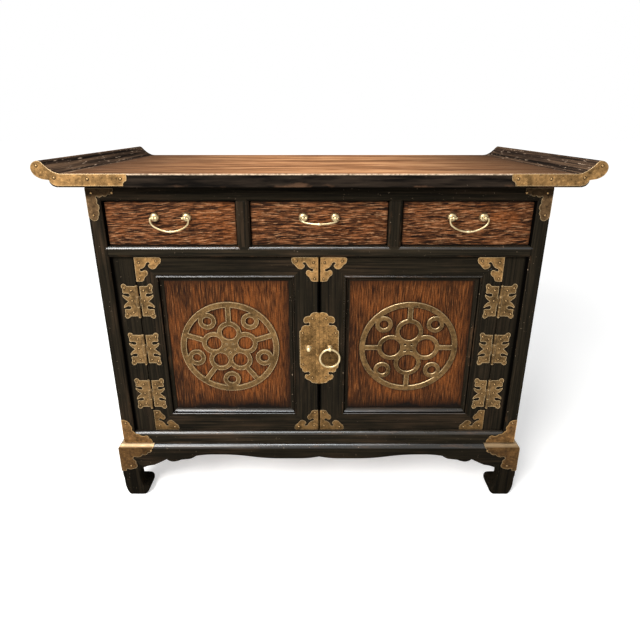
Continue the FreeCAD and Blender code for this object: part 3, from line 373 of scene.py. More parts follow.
# top board: rubbed brown above, lacquered edges with a bare front arris
topLook = {
    "light": shade(204, 152, 108), "middle": shade(164, 115, 79), "dark": shade(104, 71, 49),
    "darkened": shade(64, 48, 38), "bare": shade(232, 204, 174), "ink": shade(18, 16, 14), "umber": shade(50, 42, 35),
    "rub": shade(98, 73, 55), "scratch": shade(206, 178, 150), "roughness": (0.5, 0.7), "shine": 0.0,
    "shares": (0.45, 0.55), "ragged": 0.25, "relief": (0.0004, 0.5),
    "bend": (2.5, 9, 9), "sway": 0.07, "fine": (9, 120, 120), "broad": (3, 22, 22), "cut": (16, 380, 380),
    "patch": (12, 30, 30), "speck": 190, "stops": (0.4, 0.5, 0.58), "scratched": (0.64, 0.74, 0.0, 0.35),
    "sideStops": (0.36, 0.68), "rubbed": (0.58, 0.7, 0.0, 0.65), "upper": (0.4, 0.75),
    "chipped": (0.36, 0.56, 0.2, 1.0), "flecked": (0.72, 0.76, 0.0, 0.6), "jointWear": 0.6,
    # where the ends darken and the joints, the front arris and the foot of the edge are worn
    "ends": (0.26, 0.62, 0.0, 0.9), "joint": (0.4895, 0.4915), "arris": (-0.2518, -0.2536), "skirt": (0.754, 0.756),
    "foot": (0.742, 0.734, -0.04, 0.06),
}


def makeTop(look):
    finish = Finish("topBoard")
    grain = finish.fibre("X")
    bend = finish.noise(grain, look["bend"], detail=3)
    grain = finish.shift(grain, 1, finish.times(bend, look["sway"]))
    fine = finish.noise(grain, look["fine"], detail=4, rough=0.6)
    broad = finish.noise(grain, look["broad"], detail=4)
    tone = finish.blend(look["shares"], fine, broad)
    color = finish.ramp(tone, zip(look["stops"], (look["dark"], look["middle"], look["light"])))
    x, y, z = finish.axes(finish.place)
    across = finish.math("ABSOLUTE", x)
    outward = finish.plus(across, finish.times(broad, look["ragged"]))
    color = finish.mix(finish.span(outward, *look["ends"]), color, look["darkened"])
    cut = finish.noise(grain, look["cut"], detail=2)
    color = finish.mix(finish.span(cut, *look["scratched"]), color, look["scratch"])
    side = finish.ramp(fine, zip(look["sideStops"], (look["ink"], look["umber"])))
    patch = finish.noise(grain, look["patch"], detail=5, rough=0.65)
    lower = finish.plus(patch, finish.span(z, *look["foot"]))
    side = finish.mix(finish.span(lower, *look["rubbed"]), side, look["rub"])
    color = finish.mix(finish.upward(*look["upper"]), side, color)
    speck = finish.noise(finish.place, look["speck"], detail=4, rough=0.7)
    arris = finish.times(finish.span(y, *look["arris"]), finish.span(z, *look["skirt"]))
    joint = finish.times(finish.span(across, *look["joint"]), look["jointWear"])
    bare = finish.math("MAXIMUM", arris, joint)
    color = finish.mix(finish.times(bare, finish.span(speck, *look["chipped"])), color, look["bare"])
    color = finish.mix(finish.span(speck, *look["flecked"]), color, look["bare"])
    dull = finish.span(fine, *noiseRange, *look["roughness"])
    finish.set(Base_Color=color, Roughness=dull, Specular_IOR_Level=look["shine"])
    finish.bump(finish.plus(fine, broad), *look["relief"])
    return finish


makeTop(topLook).dress("top_board")

# scrolled ends: dark slopes rubbed in streaks from front to back
scrollLook = {
    "ink": shade(26, 22, 19), "middle": shade(62, 49, 40), "light": shade(112, 88, 68),
    "scratch": shade(190, 164, 140), "roughness": (0.4, 0.6), "shine": 0.0, "relief": (0.0005, 0.5),
    "band": (1.4, 95, 95), "fine": (8, 280, 280), "shares": (0.6, 0.4), "stops": (0.4, 0.5, 0.62),
    "cut": (40, 300, 300), "scratched": (0.63, 0.7, 0.0, 0.6), "below": (0.0, 0.35, 0.85, 0.0),
}


def makeScroll(look):
    finish = Finish("topScroll")
    grain = finish.fibre("Y")
    band = finish.noise(grain, look["band"], detail=3, rough=0.5)
    fine = finish.noise(grain, look["fine"], detail=4, rough=0.6)
    tone = finish.blend(look["shares"], band, fine)
    color = finish.ramp(tone, zip(look["stops"], (look["ink"], look["middle"], look["light"])))
    cut = finish.noise(grain, look["cut"], detail=2)
    color = finish.mix(finish.span(cut, *look["scratched"]), color, look["scratch"])
    color = finish.mix(finish.upward(*look["below"]), color, look["ink"])
    dull = finish.span(fine, *noiseRange, *look["roughness"])
    finish.set(Base_Color=color, Roughness=dull, Specular_IOR_Level=look["shine"])
    finish.bump(finish.plus(fine, band), *look["relief"])
    return finish


scrollFinish = makeScroll(scrollLook)
scrollFinish.dress("left_scroll_end", "right_scroll_end")

# their shape, and that of the brass plates before them
scrollShape = {
    "steps": 5, "plate": 0.0012,
    # in mm, out from the joint and up from the underside: slope, crest and curl, then the cove below the lip
    "curl": (
        (-12, 25), (-2, 26.6), (9, 32.6), (17.5, 40), (23.5, 46.6), (29, 49.2), (36, 47.6), (41.5, 43),
        (44.2, 36.5), (43, 29), (37.5, 21.3), (28, 16), (19, 14.2), (13.5, 13.5)),
    "cove": ((13.5, 13.5), (13, 8.5), (8.5, 3), (1, 0)), "board": 25,
    # the plate's cove, then its far end with a tip
    "plateCove": ((13.5, 13.5), (10.8, 8.8), (6, 4.6), (-2, 2.6)),
    "plateEnd": ((-124, 2.5), (-124.5, 7.5), (-127, 10.5)),
    "plateTip": ((-127, 10.5), (-130.8, 12.5), (-132, 17)), "plateTop": (-132, 25),
}


def smoothed(points, steps):
    # a smooth line through the points, bent at each by the points before and after it
    line = []
    for number in range(len(points) - 1):
        before, first = points[max(number - 1, 0)], points[number]
        second, after = points[number + 1], points[min(number + 2, len(points) - 1)]
        for step in range(steps):
            t = step / steps
            weights = (
                -t ** 3 + 2 * t * t - t, 3 * t ** 3 - 5 * t * t + 2, -3 * t ** 3 + 4 * t * t + t, t ** 3 - t * t)
            parts = tuple(zip(weights, (before, first, second, after)))
            line.append(tuple(sum(weight * place[axis] for weight, place in parts) / 2 for axis in (0, 1)))
    return line + [points[-1]]


def addSlab(shape, outline, sign, joint, underside, front, back):
    # an outline in mm, drawn out from front to back
    loops = []
    for y in (front, back):
        loops.append([shape.verts.new((sign * (joint + x / 1000), y, underside + z / 1000)) for x, z in outline])
    for step in range(len(outline)):
        after = (step + 1) % len(outline)
        shape.faces.new((loops[0][step], loops[0][after], loops[1][after], loops[1][step])).smooth = True
    for loop in loops:
        shape.faces.new(loop)


def makeScrollEnd(name, node, sign, look=scrollShape):
    low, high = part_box(node)
    joint = min(abs(low[0]), abs(high[0]))
    outline = [(0, 0), (0, look["board"])] + smoothed(look["curl"], look["steps"])
    outline += smoothed(look["cove"], look["steps"])[1:]
    shape = bmesh.new()
    addSlab(shape, outline, sign, joint, low[2], low[1], high[1])
    return makeStandIn(name, node, shape, "cabinet", "top_wood", scrollFinish)


scrollEnds = [
    makeScrollEnd("left_scroll", "left_scroll_end", -1),
    makeScrollEnd("right_scroll", "right_scroll_end", 1),
]

# door panels: orange-brown, fine upright grain, with painted shade towards the frame and in the corners
panelLook = {
    "light": shade(124, 70, 32), "middle": shade(86, 49, 24), "dark": shade(47, 27, 14), "pore": shade(24, 14, 8),
    "darkened": shade(20, 14, 10), "fleck": shade(156, 100, 56), "roughness": (0.42, 0.62), "shine": 0.05,
    "relief": (0.0004, 0.5), "bend": (3, 11, 11), "sway": 0.03, "fine": (26, 340, 340), "broad": (4, 26, 26),
    "cloud": 9, "shares": (0.35, 0.35, 0.3), "pores": (34, 420, 420),
    "stops": (0.4, 0.5, 0.58), "darkPores": (0.54, 0.64, 0.0, 0.8), "palePores": (0.42, 0.34, 0.0, 0.35),
    "speck": 420, "mottle": (0.32, 0.68, 0.74, 1.26), "creviceShade": (0.92, 0.5, 0.0, 0.75), "creviceShadeReach": 0.009,
    # painted shade towards the frame, lighter on the side lit from the left: middle of a panel, that lean, what the
    # sides add, and where it starts and ends
    "centre": (0.19525, 0.388), "lean": 0.007, "sides": 0.0134, "frameShade": (0.169, 0.202), "ragged": 0.04,
}


def makePanel(look):
    finish = Finish("doorPanel")
    grain = finish.fibre("Z")
    bend = finish.noise(grain, look["bend"], detail=3)
    grain = finish.shift(grain, 1, finish.times(bend, look["sway"]))
    fine = finish.noise(grain, look["fine"], detail=3, rough=0.55)
    pores = finish.noise(grain, look["pores"], detail=2, rough=0.5)
    broad = finish.noise(grain, look["broad"], detail=4)
    cloud = finish.noise(finish.place, look["cloud"], detail=4)
    tone = finish.blend(look["shares"], fine, broad, cloud)
    color = finish.ramp(tone, zip(look["stops"], (look["dark"], look["middle"], look["light"])))
    color = finish.mix(finish.span(pores, *look["darkPores"]), color, look["pore"])
    color = finish.mix(finish.span(pores, *look["palePores"]), color, look["fleck"])
    x, _, z = finish.axes(finish.place)
    across = finish.math("ABSOLUTE", finish.plus(x, look["lean"]))
    across = finish.math("ABSOLUTE", finish.math("SUBTRACT", across, look["centre"][0]))
    upward = finish.math("ABSOLUTE", finish.math("SUBTRACT", z, look["centre"][1]))
    rim = finish.math("MAXIMUM", finish.plus(across, look["sides"]), upward)
    rim = finish.plus(rim, finish.times(finish.plus(cloud, broad), look["ragged"]))
    # painted shade towards the frame
    color = finish.mix(finish.span(rim, *look["frameShade"]), color, look["darkened"])
    speck = finish.noise(finish.place, look["speck"], detail=2)
    color = finish.scaled(color, finish.span(speck, *look["mottle"]))
    # painted shade from ambient occlusion, in corners and beside what stands proud
    color = finish.mix(finish.span(finish.crevice(look["creviceShadeReach"]), *look["creviceShade"]), color, look["darkened"])
    dull = finish.span(fine, *noiseRange, *look["roughness"])
    finish.set(Base_Color=color, Roughness=dull, Specular_IOR_Level=look["shine"])
    finish.bump(finish.plus(fine, pores), *look["relief"])
    return finish


makePanel(panelLook).dress("left_door_panel", "right_door_panel")

# drawer fronts: coarse, slightly wavy elm with pale flecks and rubbed edges, and painted shade round the pulls and
# along the frame
drawerLook = {
    "light": shade(134, 84, 51), "middle": shade(82, 49, 28), "dark": shade(22, 13, 8), "fleck": shade(188, 140, 100),
    "rub": shade(120, 92, 70), "glow": shade(150, 84, 38), "roughness": (0.4, 0.6),
    "shine": (0.1, 0.4, 0.05, 0.5), "relief": (0.0007, 0.6), "bend": (5, 16, 16), "slope": -0.05, "wave": 0.018,
    "dash": (34, 470, 470), "pores": (60, 620, 620), "broad": (9, 110, 110), "cloud": (11, 20, 20),
    "shares": (0.75, 0.25), "stops": (0.38, 0.49, 0.6),
    "glowing": (0.52, 0.7, 0.0, 0.4), "darkPores": (0.52, 0.62, 0.0, 0.9), "palePores": (0.41, 0.33, 0.0, 0.6),
    "rimWidth": 0.003, "rubbed": (0.4, 0.6, 0.2, 0.8), "speck": 420, "mottle": (0.32, 0.68, 0.78, 1.22),
    "creviceShade": (0.95, 0.55, 0.0, 0.6), "creviceShadeReach": 0.014,
}


def makeDrawer(look):
    finish = Finish("drawerFront")
    grain = finish.fibre("X")
    bend = finish.noise(grain, look["bend"], detail=3)
    drift = finish.blend((look["slope"], look["wave"]), finish.axes(grain)[0], bend)
    grain = finish.shift(grain, 2, drift)
    dash = finish.noise(grain, look["dash"], detail=2, rough=0.5)
    pores = finish.noise(grain, look["pores"], detail=2, rough=0.5)
    broad = finish.noise(grain, look["broad"], detail=4)
    tone = finish.blend(look["shares"], dash, broad)
    color = finish.ramp(tone, zip(look["stops"], (look["dark"], look["middle"], look["light"])))
    cloud = finish.noise(grain, look["cloud"], detail=3)
    color = finish.mix(finish.span(cloud, *look["glowing"]), color, look["glow"])
    color = finish.mix(finish.span(pores, *look["darkPores"]), color, look["dark"])
    color = finish.mix(finish.span(pores, *look["palePores"]), color, look["fleck"])
    rubbed = finish.times(finish.edges(look["rimWidth"]), finish.span(broad, *look["rubbed"]))
    color = finish.mix(rubbed, color, look["rub"])
    speck = finish.noise(finish.place, look["speck"], detail=2)
    color = finish.scaled(color, finish.span(speck, *look["mottle"]))
    # painted shade from ambient occlusion, round the pulls and along the frame
    color = finish.mix(finish.span(finish.crevice(look["creviceShadeReach"]), *look["creviceShade"]), color, look["dark"])
    dull = finish.span(dash, *noiseRange, *look["roughness"])
    finish.set(Base_Color=color, Roughness=dull, Specular_IOR_Level=finish.upward(*look["shine"]))
    finish.bump(finish.plus(dash, pores), *look["relief"])
    return finish


drawerNames = ["left_drawer_front", "middle_drawer_front", "right_drawer_front"]
makeDrawer(drawerLook).dress(*drawerNames)

# unseen boards: plain brown wood left from the plane
plainLook = {
    "light": shade(178, 138, 96), "dark": shade(112, 78, 50), "roughness": (0.6, 0.8), "shine": 0.25,
    "relief": (0.0003, 0.5), "fine": (4, 150, 150), "broad": (2, 20, 20), "shares": (0.5, 0.5), "stops": (0.32, 0.68),
}


def makePlain(name, along, look=plainLook):
    finish = Finish(name)
    grain = finish.fibre(along)
    fine = finish.noise(grain, look["fine"], detail=6, rough=0.65)
    broad = finish.noise(grain, look["broad"], detail=3, distort=0.5)
    tone = finish.blend(look["shares"], fine, broad)
    color = finish.ramp(tone, zip(look["stops"], (look["dark"], look["light"])))
    dull = finish.span(fine, *noiseRange, *look["roughness"])
    finish.set(Base_Color=color, Roughness=dull, Specular_IOR_Level=look["shine"])
    finish.bump(fine, *look["relief"])
    return finish


makePlain("plainLevel", "X").dress("back_panel", "bottom_board", "drawer_deck")
makePlain("plainDeep", "Y").dress(
    "board_bearers", "drawer_guides", "left_drawer_box", "middle_drawer_box", "right_drawer_box")
print("top, panels and drawers finished")

# sheet brass, aged golden brown, paler along its rims, partly from wear and partly as a painted highlight, with a
# painted highlight on faces that look up, stained in spots; each fitting has its own tone
brassLook = {
    "top": (140, 107, 66), "lock": (124, 94, 56), "hinge": (108, 84, 53), "corner": (140, 107, 66),
    "post": (92, 71, 48), "medallion": (99, 76, 47), "foot": (82, 58, 31),
    "stain": shade(36, 27, 19), "rim": shade(214, 186, 140), "ledge": shade(136, 114, 86), "roughness": (0.4, 0.6),
    "cloud": 34, "spots": 150, "stops": (0.34, 0.5, 0.68), "tones": (0.5, 1.0, 1.5), "bright": 3.0,
    "stained": (0.52, 0.68, 0.0, 0.75), "brightened": (0.44, 0.32, 0.0, 0.5), "ledges": (0.25, 0.6, 0.0, 0.9),
    "rimWidth": 0.003, "seam": (0.0025, 0.005), "dull": (0.8, 1.25), "relief": (0.0004, 0.4),
    # corner plates darken downward, post plates carry painted shade under the top's overhang; low post plates are
    # warmer
    "levels": (0.16, 0.6, 0.5, 1.0), "overhangShade": (0.706, 0.716, 1.0, 0.2), "lowPost": (0.4, 0.25),
    "warm": (1.4, 1.22, 0.92),
    # medallions: painted shade on faces that look down, a painted highlight on those that look up
    "undersideShade": shade(44, 33, 21), "below": (-0.15, -0.6, 0.0, 0.8), "above": (0.15, 0.6, 0.0, 0.7),
    # lock plates: scored lines of the middle band, place and reach of the ring's shade, eyes that stand proud
    "band": (0.0086, 0.0078, 0.0094), "bandLight": 1.12, "score": 0.5, "ring": (0.023, 0.357),
    "ringShade": (0.0185, 0.0225, 0.5, 1.0), "speck": 420, "mottle": (0.32, 0.68, 0.66, 1.3),
    "eye": shade(214, 194, 150), "proud": (-0.2268, -0.2282),
}


def engrave(finish, color, look):
    # lock plates: a brighter middle band between two scored lines, painted shade inside the ring, bright eyes
    x, y, z = finish.axes(finish.place)
    across = finish.math("ABSOLUTE", x)
    edge, inside, outside = look["band"]
    line = finish.times(finish.span(across, inside, edge), finish.span(across, outside, edge))
    light = finish.span(across, edge, inside, 1.0, look["bandLight"])
    squares = []
    for place, middle in zip((x, z), look["ring"]):
        squares.append(finish.math("POWER", finish.math("SUBTRACT", place, middle), 2.0))
    reach = finish.math("SQRT", finish.plus(*squares))
    light = finish.times(light, finish.span(reach, *look["ringShade"]))
    light = finish.times(light, finish.math("SUBTRACT", 1.0, finish.times(line, look["score"])))
    speck = finish.noise(finish.place, look["speck"], detail=2)
    color = finish.scaled(color, finish.times(light, finish.span(speck, *look["mottle"])))
    return finish.mix(finish.span(y, *look["proud"]), color, look["eye"])


def makeBrass(name, tone, rim=0.7, look=brassLook):
    def toned(factor):
        return tuple(min(1.0, part * factor) for part in shade(*look[tone])[:3]) + (1.0,)
    finish = Finish(name, Metallic=1.0)
    cloud = finish.noise(finish.place, look["cloud"], detail=6, rough=0.65)
    stain = finish.noise(finish.place, look["spots"], detail=5, rough=0.7)
    color = finish.ramp(cloud, zip(look["stops"], map(toned, look["tones"])))
    color = finish.mix(finish.span(stain, *look["stained"]), color, look["stain"])
    color = finish.mix(finish.span(stain, *look["brightened"]), color, toned(look["bright"]))
    x, _, z = finish.axes(finish.place)
    across = finish.math("ABSOLUTE", x)
    # paler rims: partly wear, partly a painted highlight
    rims = finish.times(finish.edges(look["rimWidth"]), finish.span(across, *look["seam"]))
    color = finish.mix(finish.times(rims, rim), color, look["rim"])
    # faces that look up turn paler: a painted highlight
    color = finish.mix(finish.upward(*look["ledges"]), color, look["ledge"])
    if tone == "corner":
        color = finish.scaled(color, finish.span(z, *look["levels"]))
    if tone == "post":
        # painted shade under the top's overhang
        color = finish.scaled(color, finish.span(z, *look["overhangShade"]))
        color = finish.mix(finish.span(z, *look["lowPost"]), color, finish.stretch(color, look["warm"]))
    if tone == "medallion":
        # painted shade on faces that look down, painted highlight on those that look up
        color = finish.mix(finish.upward(*look["below"]), color, look["undersideShade"])
        color = finish.mix(finish.upward(*look["above"]), color, look["rim"])
    if tone == "lock":
        color = engrave(finish, color, look)
    dull = finish.span(finish.plus(cloud, stain), *look["dull"], *look["roughness"])
    finish.set(Base_Color=color, Roughness=dull)
    finish.bump(finish.plus(cloud, stain), *look["relief"])
    return finish


topBrass = makeBrass("brassTop", "top")
topBrass.dress("top_corner_plates")
lockBrass = makeBrass("brassLock", "lock", 0.8)
lockBrass.dress("left_lock_plate", "right_lock_plate")
hingeBrass = makeBrass("brassHinge", "hinge", 0.8)
hingeBrass.dress("frame_hinge_leaves", "hinge_pins", "left_door_hinge_leaves", "right_door_hinge_leaves")
cornerBrass = makeBrass("brassCorner", "corner", 0.8)
cornerBrass.dress("left_door_corner_plates", "right_door_corner_plates")
makeBrass("brassPost", "post", 0.55).dress("post_corner_plates")
makeBrass("brassMedallion", "medallion", 0.85).dress("left_medallion", "right_medallion")
makeBrass("brassFoot", "foot", 0.4).dress("leg_corner_plates")


def makeTopPlates(name, node, look=scrollShape):
    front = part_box(node)[0][1]
    joint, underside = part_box("top_board")[1][0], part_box("left_scroll_end")[0][2]
    outline = smoothed(look["curl"], look["steps"]) + smoothed(look["plateCove"], look["steps"])[1:]
    outline += smoothed(look["plateEnd"], look["steps"]) + smoothed(look["plateTip"], look["steps"])[1:]
    outline.append(look["plateTop"])
    shape = bmesh.new()
    for sign in (-1, 1):
        addSlab(shape, outline, sign, joint, underside, front, front + look["plate"])
    return makeStandIn(name, node, shape, "cabinet", "aged_brass", topBrass)


topPlates = makeTopPlates("top_plates", "top_corner_plates")

# hinge leaves: wings with rolled corners, a slit above and below and a waist, on the knuckles of the joinery
hingeLook = {
    "line": 0.38, "middles": (0.266, 0.378, 0.49), "knuckle": 0.00359, "front": -0.2265, "back": -0.225, "steps": 3,
    # in mm, out from the hinge line and up from a hinge's middle: the wing from its waist, then the knuckle edge
    "wing": (
        (21, 0), (24.3, 2.4), (28.4, 6), (31.2, 9.6), (32.4, 13), (31.4, 15), (29.2, 13.4), (25.5, 11.4),
        (21.2, 10.4), (17.8, 11.4), (17, 14.4), (19.2, 17.4), (24, 18.2), (29.2, 17.9), (31.2, 20), (30.8, 24),
        (31, 28), (32.4, 31.5), (32.4, 35.6), (30, 38.6), (26.5, 39), (23.2, 37), (21.8, 34)),
    "caseEdge": ((3.55, 33.8),), "doorEdge": ((5.4, 33.8), (5.4, 6), (3.55, 6)),
}


def makeLeaves(name, node, body, signs, side, look=hingeLook):
    # side is 1 for the leaves on the case and -1 for those on a door
    cut = look["line"] + side * look["knuckle"]
    shape = cutCopy(node, *[((sign * cut, 0, 0), (sign * side, 0, 0)) for sign in signs])
    upper = smoothed(look["wing"], look["steps"]) + list(look["caseEdge" if side > 0 else "doorEdge"])
    outline = upper + [(x, -z) for x, z in reversed(upper[1:])]
    outline = [(side * x, z) for x, z in outline]
    for sign in signs:
        for middle in look["middles"]:
            addSlab(shape, outline, sign, look["line"], middle, look["front"], look["back"])
    return makeStandIn(name, node, shape, body, "aged_brass", hingeBrass)


leaves = [
    makeLeaves("frame_leaves", "frame_hinge_leaves", "cabinet", (-1, 1), 1),
    makeLeaves("left_door_leaves", "left_door_hinge_leaves", "left_door", (-1,), -1),
    makeLeaves("right_door_leaves", "right_door_hinge_leaves", "right_door", (1,), -1),
]

# lock plates: two halves of a cloud-edged plate, with the eyes of the joinery
lockShape = {
    "front": -0.2262, "back": -0.225, "eyes": -0.22621, "steps": 3,
    # in mm, out from the meeting line and up from the floor, down one side
    "half": (
        (0.3, 463), (4.5, 464.6), (10.5, 464.4), (16.4, 462), (19.6, 456.8), (25, 456), (30.8, 453.2), (33.6, 447),
        (32.2, 441.2), (28.2, 439.4), (23.8, 441), (20.6, 438.6), (21.4, 435), (25.4, 434), (29, 434.8), (34.6, 433),
        (37.8, 428.4), (38.2, 424.2), (41.2, 421.8), (42.4, 417), (42.2, 400), (42.2, 378), (42.2, 356),
        (42.4, 339), (41.2, 332.6), (37.6, 329), (36.2, 323.4), (31.4, 320.4), (27, 321.4), (23.4, 321.6),
        (20.6, 318.8), (21.6, 315.2), (25.6, 314.2), (29.4, 315), (31.6, 310.4), (29.6, 304.6), (25, 301.4),
        (20.6, 300), (16.4, 294.6), (9, 293), (4.5, 292.6), (0.3, 291.8)),
}


def makeLock(name, node, body, sign, look=lockShape):
    shape = cutCopy(node, ((0, look["eyes"], 0), (0, 1, 0)))
    addSlab(shape, smoothed(look["half"], look["steps"]), sign, 0, 0, look["front"], look["back"])
    return makeStandIn(name, node, shape, body, "aged_brass", lockBrass)


locks = [
    makeLock("left_lock", "left_lock_plate", "left_door", -1),
    makeLock("right_lock", "right_lock_plate", "right_door", 1),
]

# door corner plates: two lobes that nearly meet over a slit with rounded ends
cornerShape = {
    "front": -0.2262, "back": -0.225, "steps": 3,
    # in mm, in from the door's upright edge and from its level edge
    "lobes": (
        (50.8, 0), (54.2, 1.6), (54.8, 6.2), (53, 12.4), (48.6, 16), (45.4, 20), (41.4, 24.2), (36.4, 25.6),
        (31.4, 23.8), (28.2, 19.8), (28.4, 16.2), (31.6, 13.4), (29.4, 10.4), (25.2, 11.8), (22.8, 16.4),
        (19.6, 20.6), (15.6, 23.6), (11.2, 25), (9.8, 28), (13, 30.4), (17, 28.4), (20.8, 27.2), (24.2, 29.6),
        (25.4, 34.4), (23.2, 39.2), (19, 42.6), (16.6, 46.8), (14.6, 50.8), (10.8, 52.4), (5, 52.6), (0, 52.6)),
}


def makeCorners(name, node, body, sign, look=cornerShape):
    low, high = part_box(node)
    across = sorted(1000 * abs(corner[0]) for corner in (low, high))
    lobes = [(0, 0)] + smoothed(look["lobes"], look["steps"])
    shape = bmesh.new()
    for edge, inward in zip(across, (1, -1)):
        for level, away in ((1000 * low[2], 1), (1000 * high[2], -1)):
            outline = [(edge + inward * x, level + away * z) for x, z in lobes]
            addSlab(shape, outline, sign, 0, 0, look["front"], look["back"])
    return makeStandIn(name, node, shape, body, "aged_brass", cornerBrass)


corners = [
    makeCorners("left_door_corners", "left_door_corner_plates", "left_door", -1),
    makeCorners("right_door_corners", "right_door_corner_plates", "right_door", 1),
]

# cast pulls and ring: pale polished brass
pullLook = {
    "bright": shade(208, 188, 146), "middle": shade(176, 155, 114), "roughness": (0.36, 0.48), "cloud": 60,
    "stops": (0.35, 0.62), "relief": (0.0002, 0.25),
}


def makePull(look):
    finish = Finish("brassPull", Metallic=1.0)
    cloud = finish.noise(finish.place, look["cloud"], detail=4, rough=0.6)
    color = finish.ramp(cloud, zip(look["stops"], (look["middle"], look["bright"])))
    dull = finish.span(cloud, *noiseRange, *look["roughness"])
    finish.set(Base_Color=color, Roughness=dull)
    finish.bump(cloud, *look["relief"])
    return finish


makePull(pullLook).dress(
    "pull_ring", "left_drawer_pull_posts", "middle_drawer_pull_posts", "right_drawer_pull_posts", "left_bail",
    "middle_bail", "right_bail")

# nail heads: low domes with a ring of painted shade round them
nailLook = {
    "radius": 0.002, "rise": 0.0013, "sides": 14, "seam": 2, "dome": shade(164, 132, 88), "dark": shade(56, 42, 28),
    "roughness": (0.46, 0.66), "cloud": 500, "dim": (0.6, 0.6, 0.6, 1.0), "full": (1.0, 1.0, 1.0, 1.0),
    "profile": ((1.6, 0.0), (1.5, 0.14), (1.0, 0.2), (0.94, 0.5), (0.7, 0.82), (0.35, 1.0)),
    # on the case: the face that the nails stand on, and their places
    "top": (-0.2562, ((0.5244, 0.7717), (0.4952, 0.7496), (0.4335, 0.7474), (0.3718, 0.7476))),
    "post": (-0.2362, ((0.4405, 0.7186), (0.4005, 0.719), (0.442, 0.675), (0.4421, 0.1944), (0.3949, 0.1542))),
    "foot": (-0.2462, ((0.3884, 0.1265), (0.439, 0.0844))),
    "side": 0.4632, "baseFront": -0.245,
    # on a hinge leaf, a lock half and a door's corner
    "leaf": ((0.0268, 0.0295), (0.0268, -0.0295), (0.013, 0.024), (0.013, 0.001), (0.013, -0.0252)),
    "lock": ((0.0143, 0.4506), (0.0358, 0.4162), (0.0359, 0.3402), (0.0153, 0.307)),
    "corner": ((0.0094, 0.0114), (0.045, 0.008), (0.0075, 0.0465)), "door": ((0.002, 0.1695), (0.379, 0.5865)),
}


def makeNailBrass(name, color, look=nailLook):
    finish = Finish(name, Metallic=1.0)
    cloud = finish.noise(finish.place, look["cloud"], detail=3)
    light = finish.ramp(cloud, zip(noiseRange, (look["dim"], look["full"])))
    dull = finish.span(cloud, *noiseRange, *look["roughness"])
    finish.set(Base_Color=finish.stretch(light, color[:3]), Roughness=dull)
    return finish


nailFinishes = makeNailBrass("nailDome", nailLook["dome"]), makeNailBrass("nailPaintedShade", nailLook["dark"])


def makeNails(name, body, spots, look=nailLook):
    shape = bmesh.new()
    for place, facing in spots:
        spin = Vector((0, 0, 1)).rotation_difference(Vector(facing)).to_matrix()
        place = Vector(place)
        last = None
        for level, (width, height) in enumerate(look["profile"]):
            ring = []
            for step in range(look["sides"]):
                angle = 2 * math.pi * step / look["sides"]
                local = Vector((math.cos(angle) * width, math.sin(angle) * width, 0)) * look["radius"]
                local.z = height * look["rise"]
                ring.append(shape.verts.new(place + spin @ local))
            for step in range(look["sides"] if last else 0):
                after = (step + 1) % look["sides"]
                face = shape.faces.new((last[step], last[after], ring[after], ring[step]))
                # the lowest rings take the painted shade
                face.material_index = int(level <= look["seam"])
            last = ring
        shape.faces.new(last)
    for face in shape.faces:
        face.smooth = True
    makePiece(name, shape, body, "aged_brass", *nailFinishes)


def nailSpots(look, sign):
    front = (0, -1, 0)
    case = [((sign * x, look[key][0], z), front) for key in ("top", "post", "foot") for x, z in look[key][1]]
    for x, z in look["foot"][1]:
        case.append(((sign * look["side"], look["baseFront"] + look["side"] - x, z), (sign, 0, 0)))
    door = []
    line, plane = hingeLook["line"], hingeLook["front"]
    for middle in hingeLook["middles"]:
        for x, z in look["leaf"]:
            case.append(((sign * (line + x), plane, middle + z), front))
            door.append(((sign * (line - x), plane, middle + z), front))
    door += [((sign * x, lockShape["front"], z), front) for x, z in look["lock"]]
    (inner, bottom), (outer, top) = look["door"]
    for x, z in look["corner"]:
        for edge, inward in ((inner, 1), (outer, -1)):
            for level, away in ((bottom, 1), (top, -1)):
                door.append(((sign * (edge + inward * x), cornerShape["front"], level + away * z), front))
    return case, door


leftCase, leftDoor = nailSpots(nailLook, -1)
rightCase, rightDoor = nailSpots(nailLook, 1)
makeNails("cabinet_nails", "cabinet", leftCase + rightCase)
makeNails("left_door_nails", "left_door", leftDoor)
makeNails("right_door_nails", "right_door", rightDoor)
print("brass finished,", len(leftCase + leftDoor + rightCase + rightDoor), "nails")

# eased edges on joinery and sheet brass
easeLook = {
    "wood": 0.0009, "drawer": 0.0022, "scroll": 0.0012, "brass": 0.00035, "medallion": 0.0022,
    "angle": 32, "steps": 2,
}


def easeWidth(name, finish):
    if name in drawerNames:
        return easeLook["drawer"]
    if "medallion" in name:
        return easeLook["medallion"]
    return easeLook["brass" if finish.startswith("brass") else "wood"]


def ease(thing, width):
    weld = thing.modifiers.new("weld", "WELD")
    weld.merge_threshold = weldReach
    bevel = thing.modifiers.new("ease", "BEVEL")
    bevel.width = width
    bevel.segments = easeLook["steps"]
    bevel.limit_method = "ANGLE"
    bevel.angle_limit = math.radians(easeLook["angle"])
    bevel.use_clamp_overlap = True
    normals = thing.modifiers.new("normals", "WEIGHTED_NORMAL")
    normals.keep_sharp = False
    normals.weight = 100


for name, thing in nodes.items():
    finish = thing.data.materials[0].name
    if finish != "brassPull":
        ease(thing, easeWidth(name, finish))
for thing in scrollEnds:
    ease(thing, easeLook["scroll"])
for thing in [topPlates] + leaves + locks + corners:
    ease(thing, easeLook["brass"])
print("edges eased")

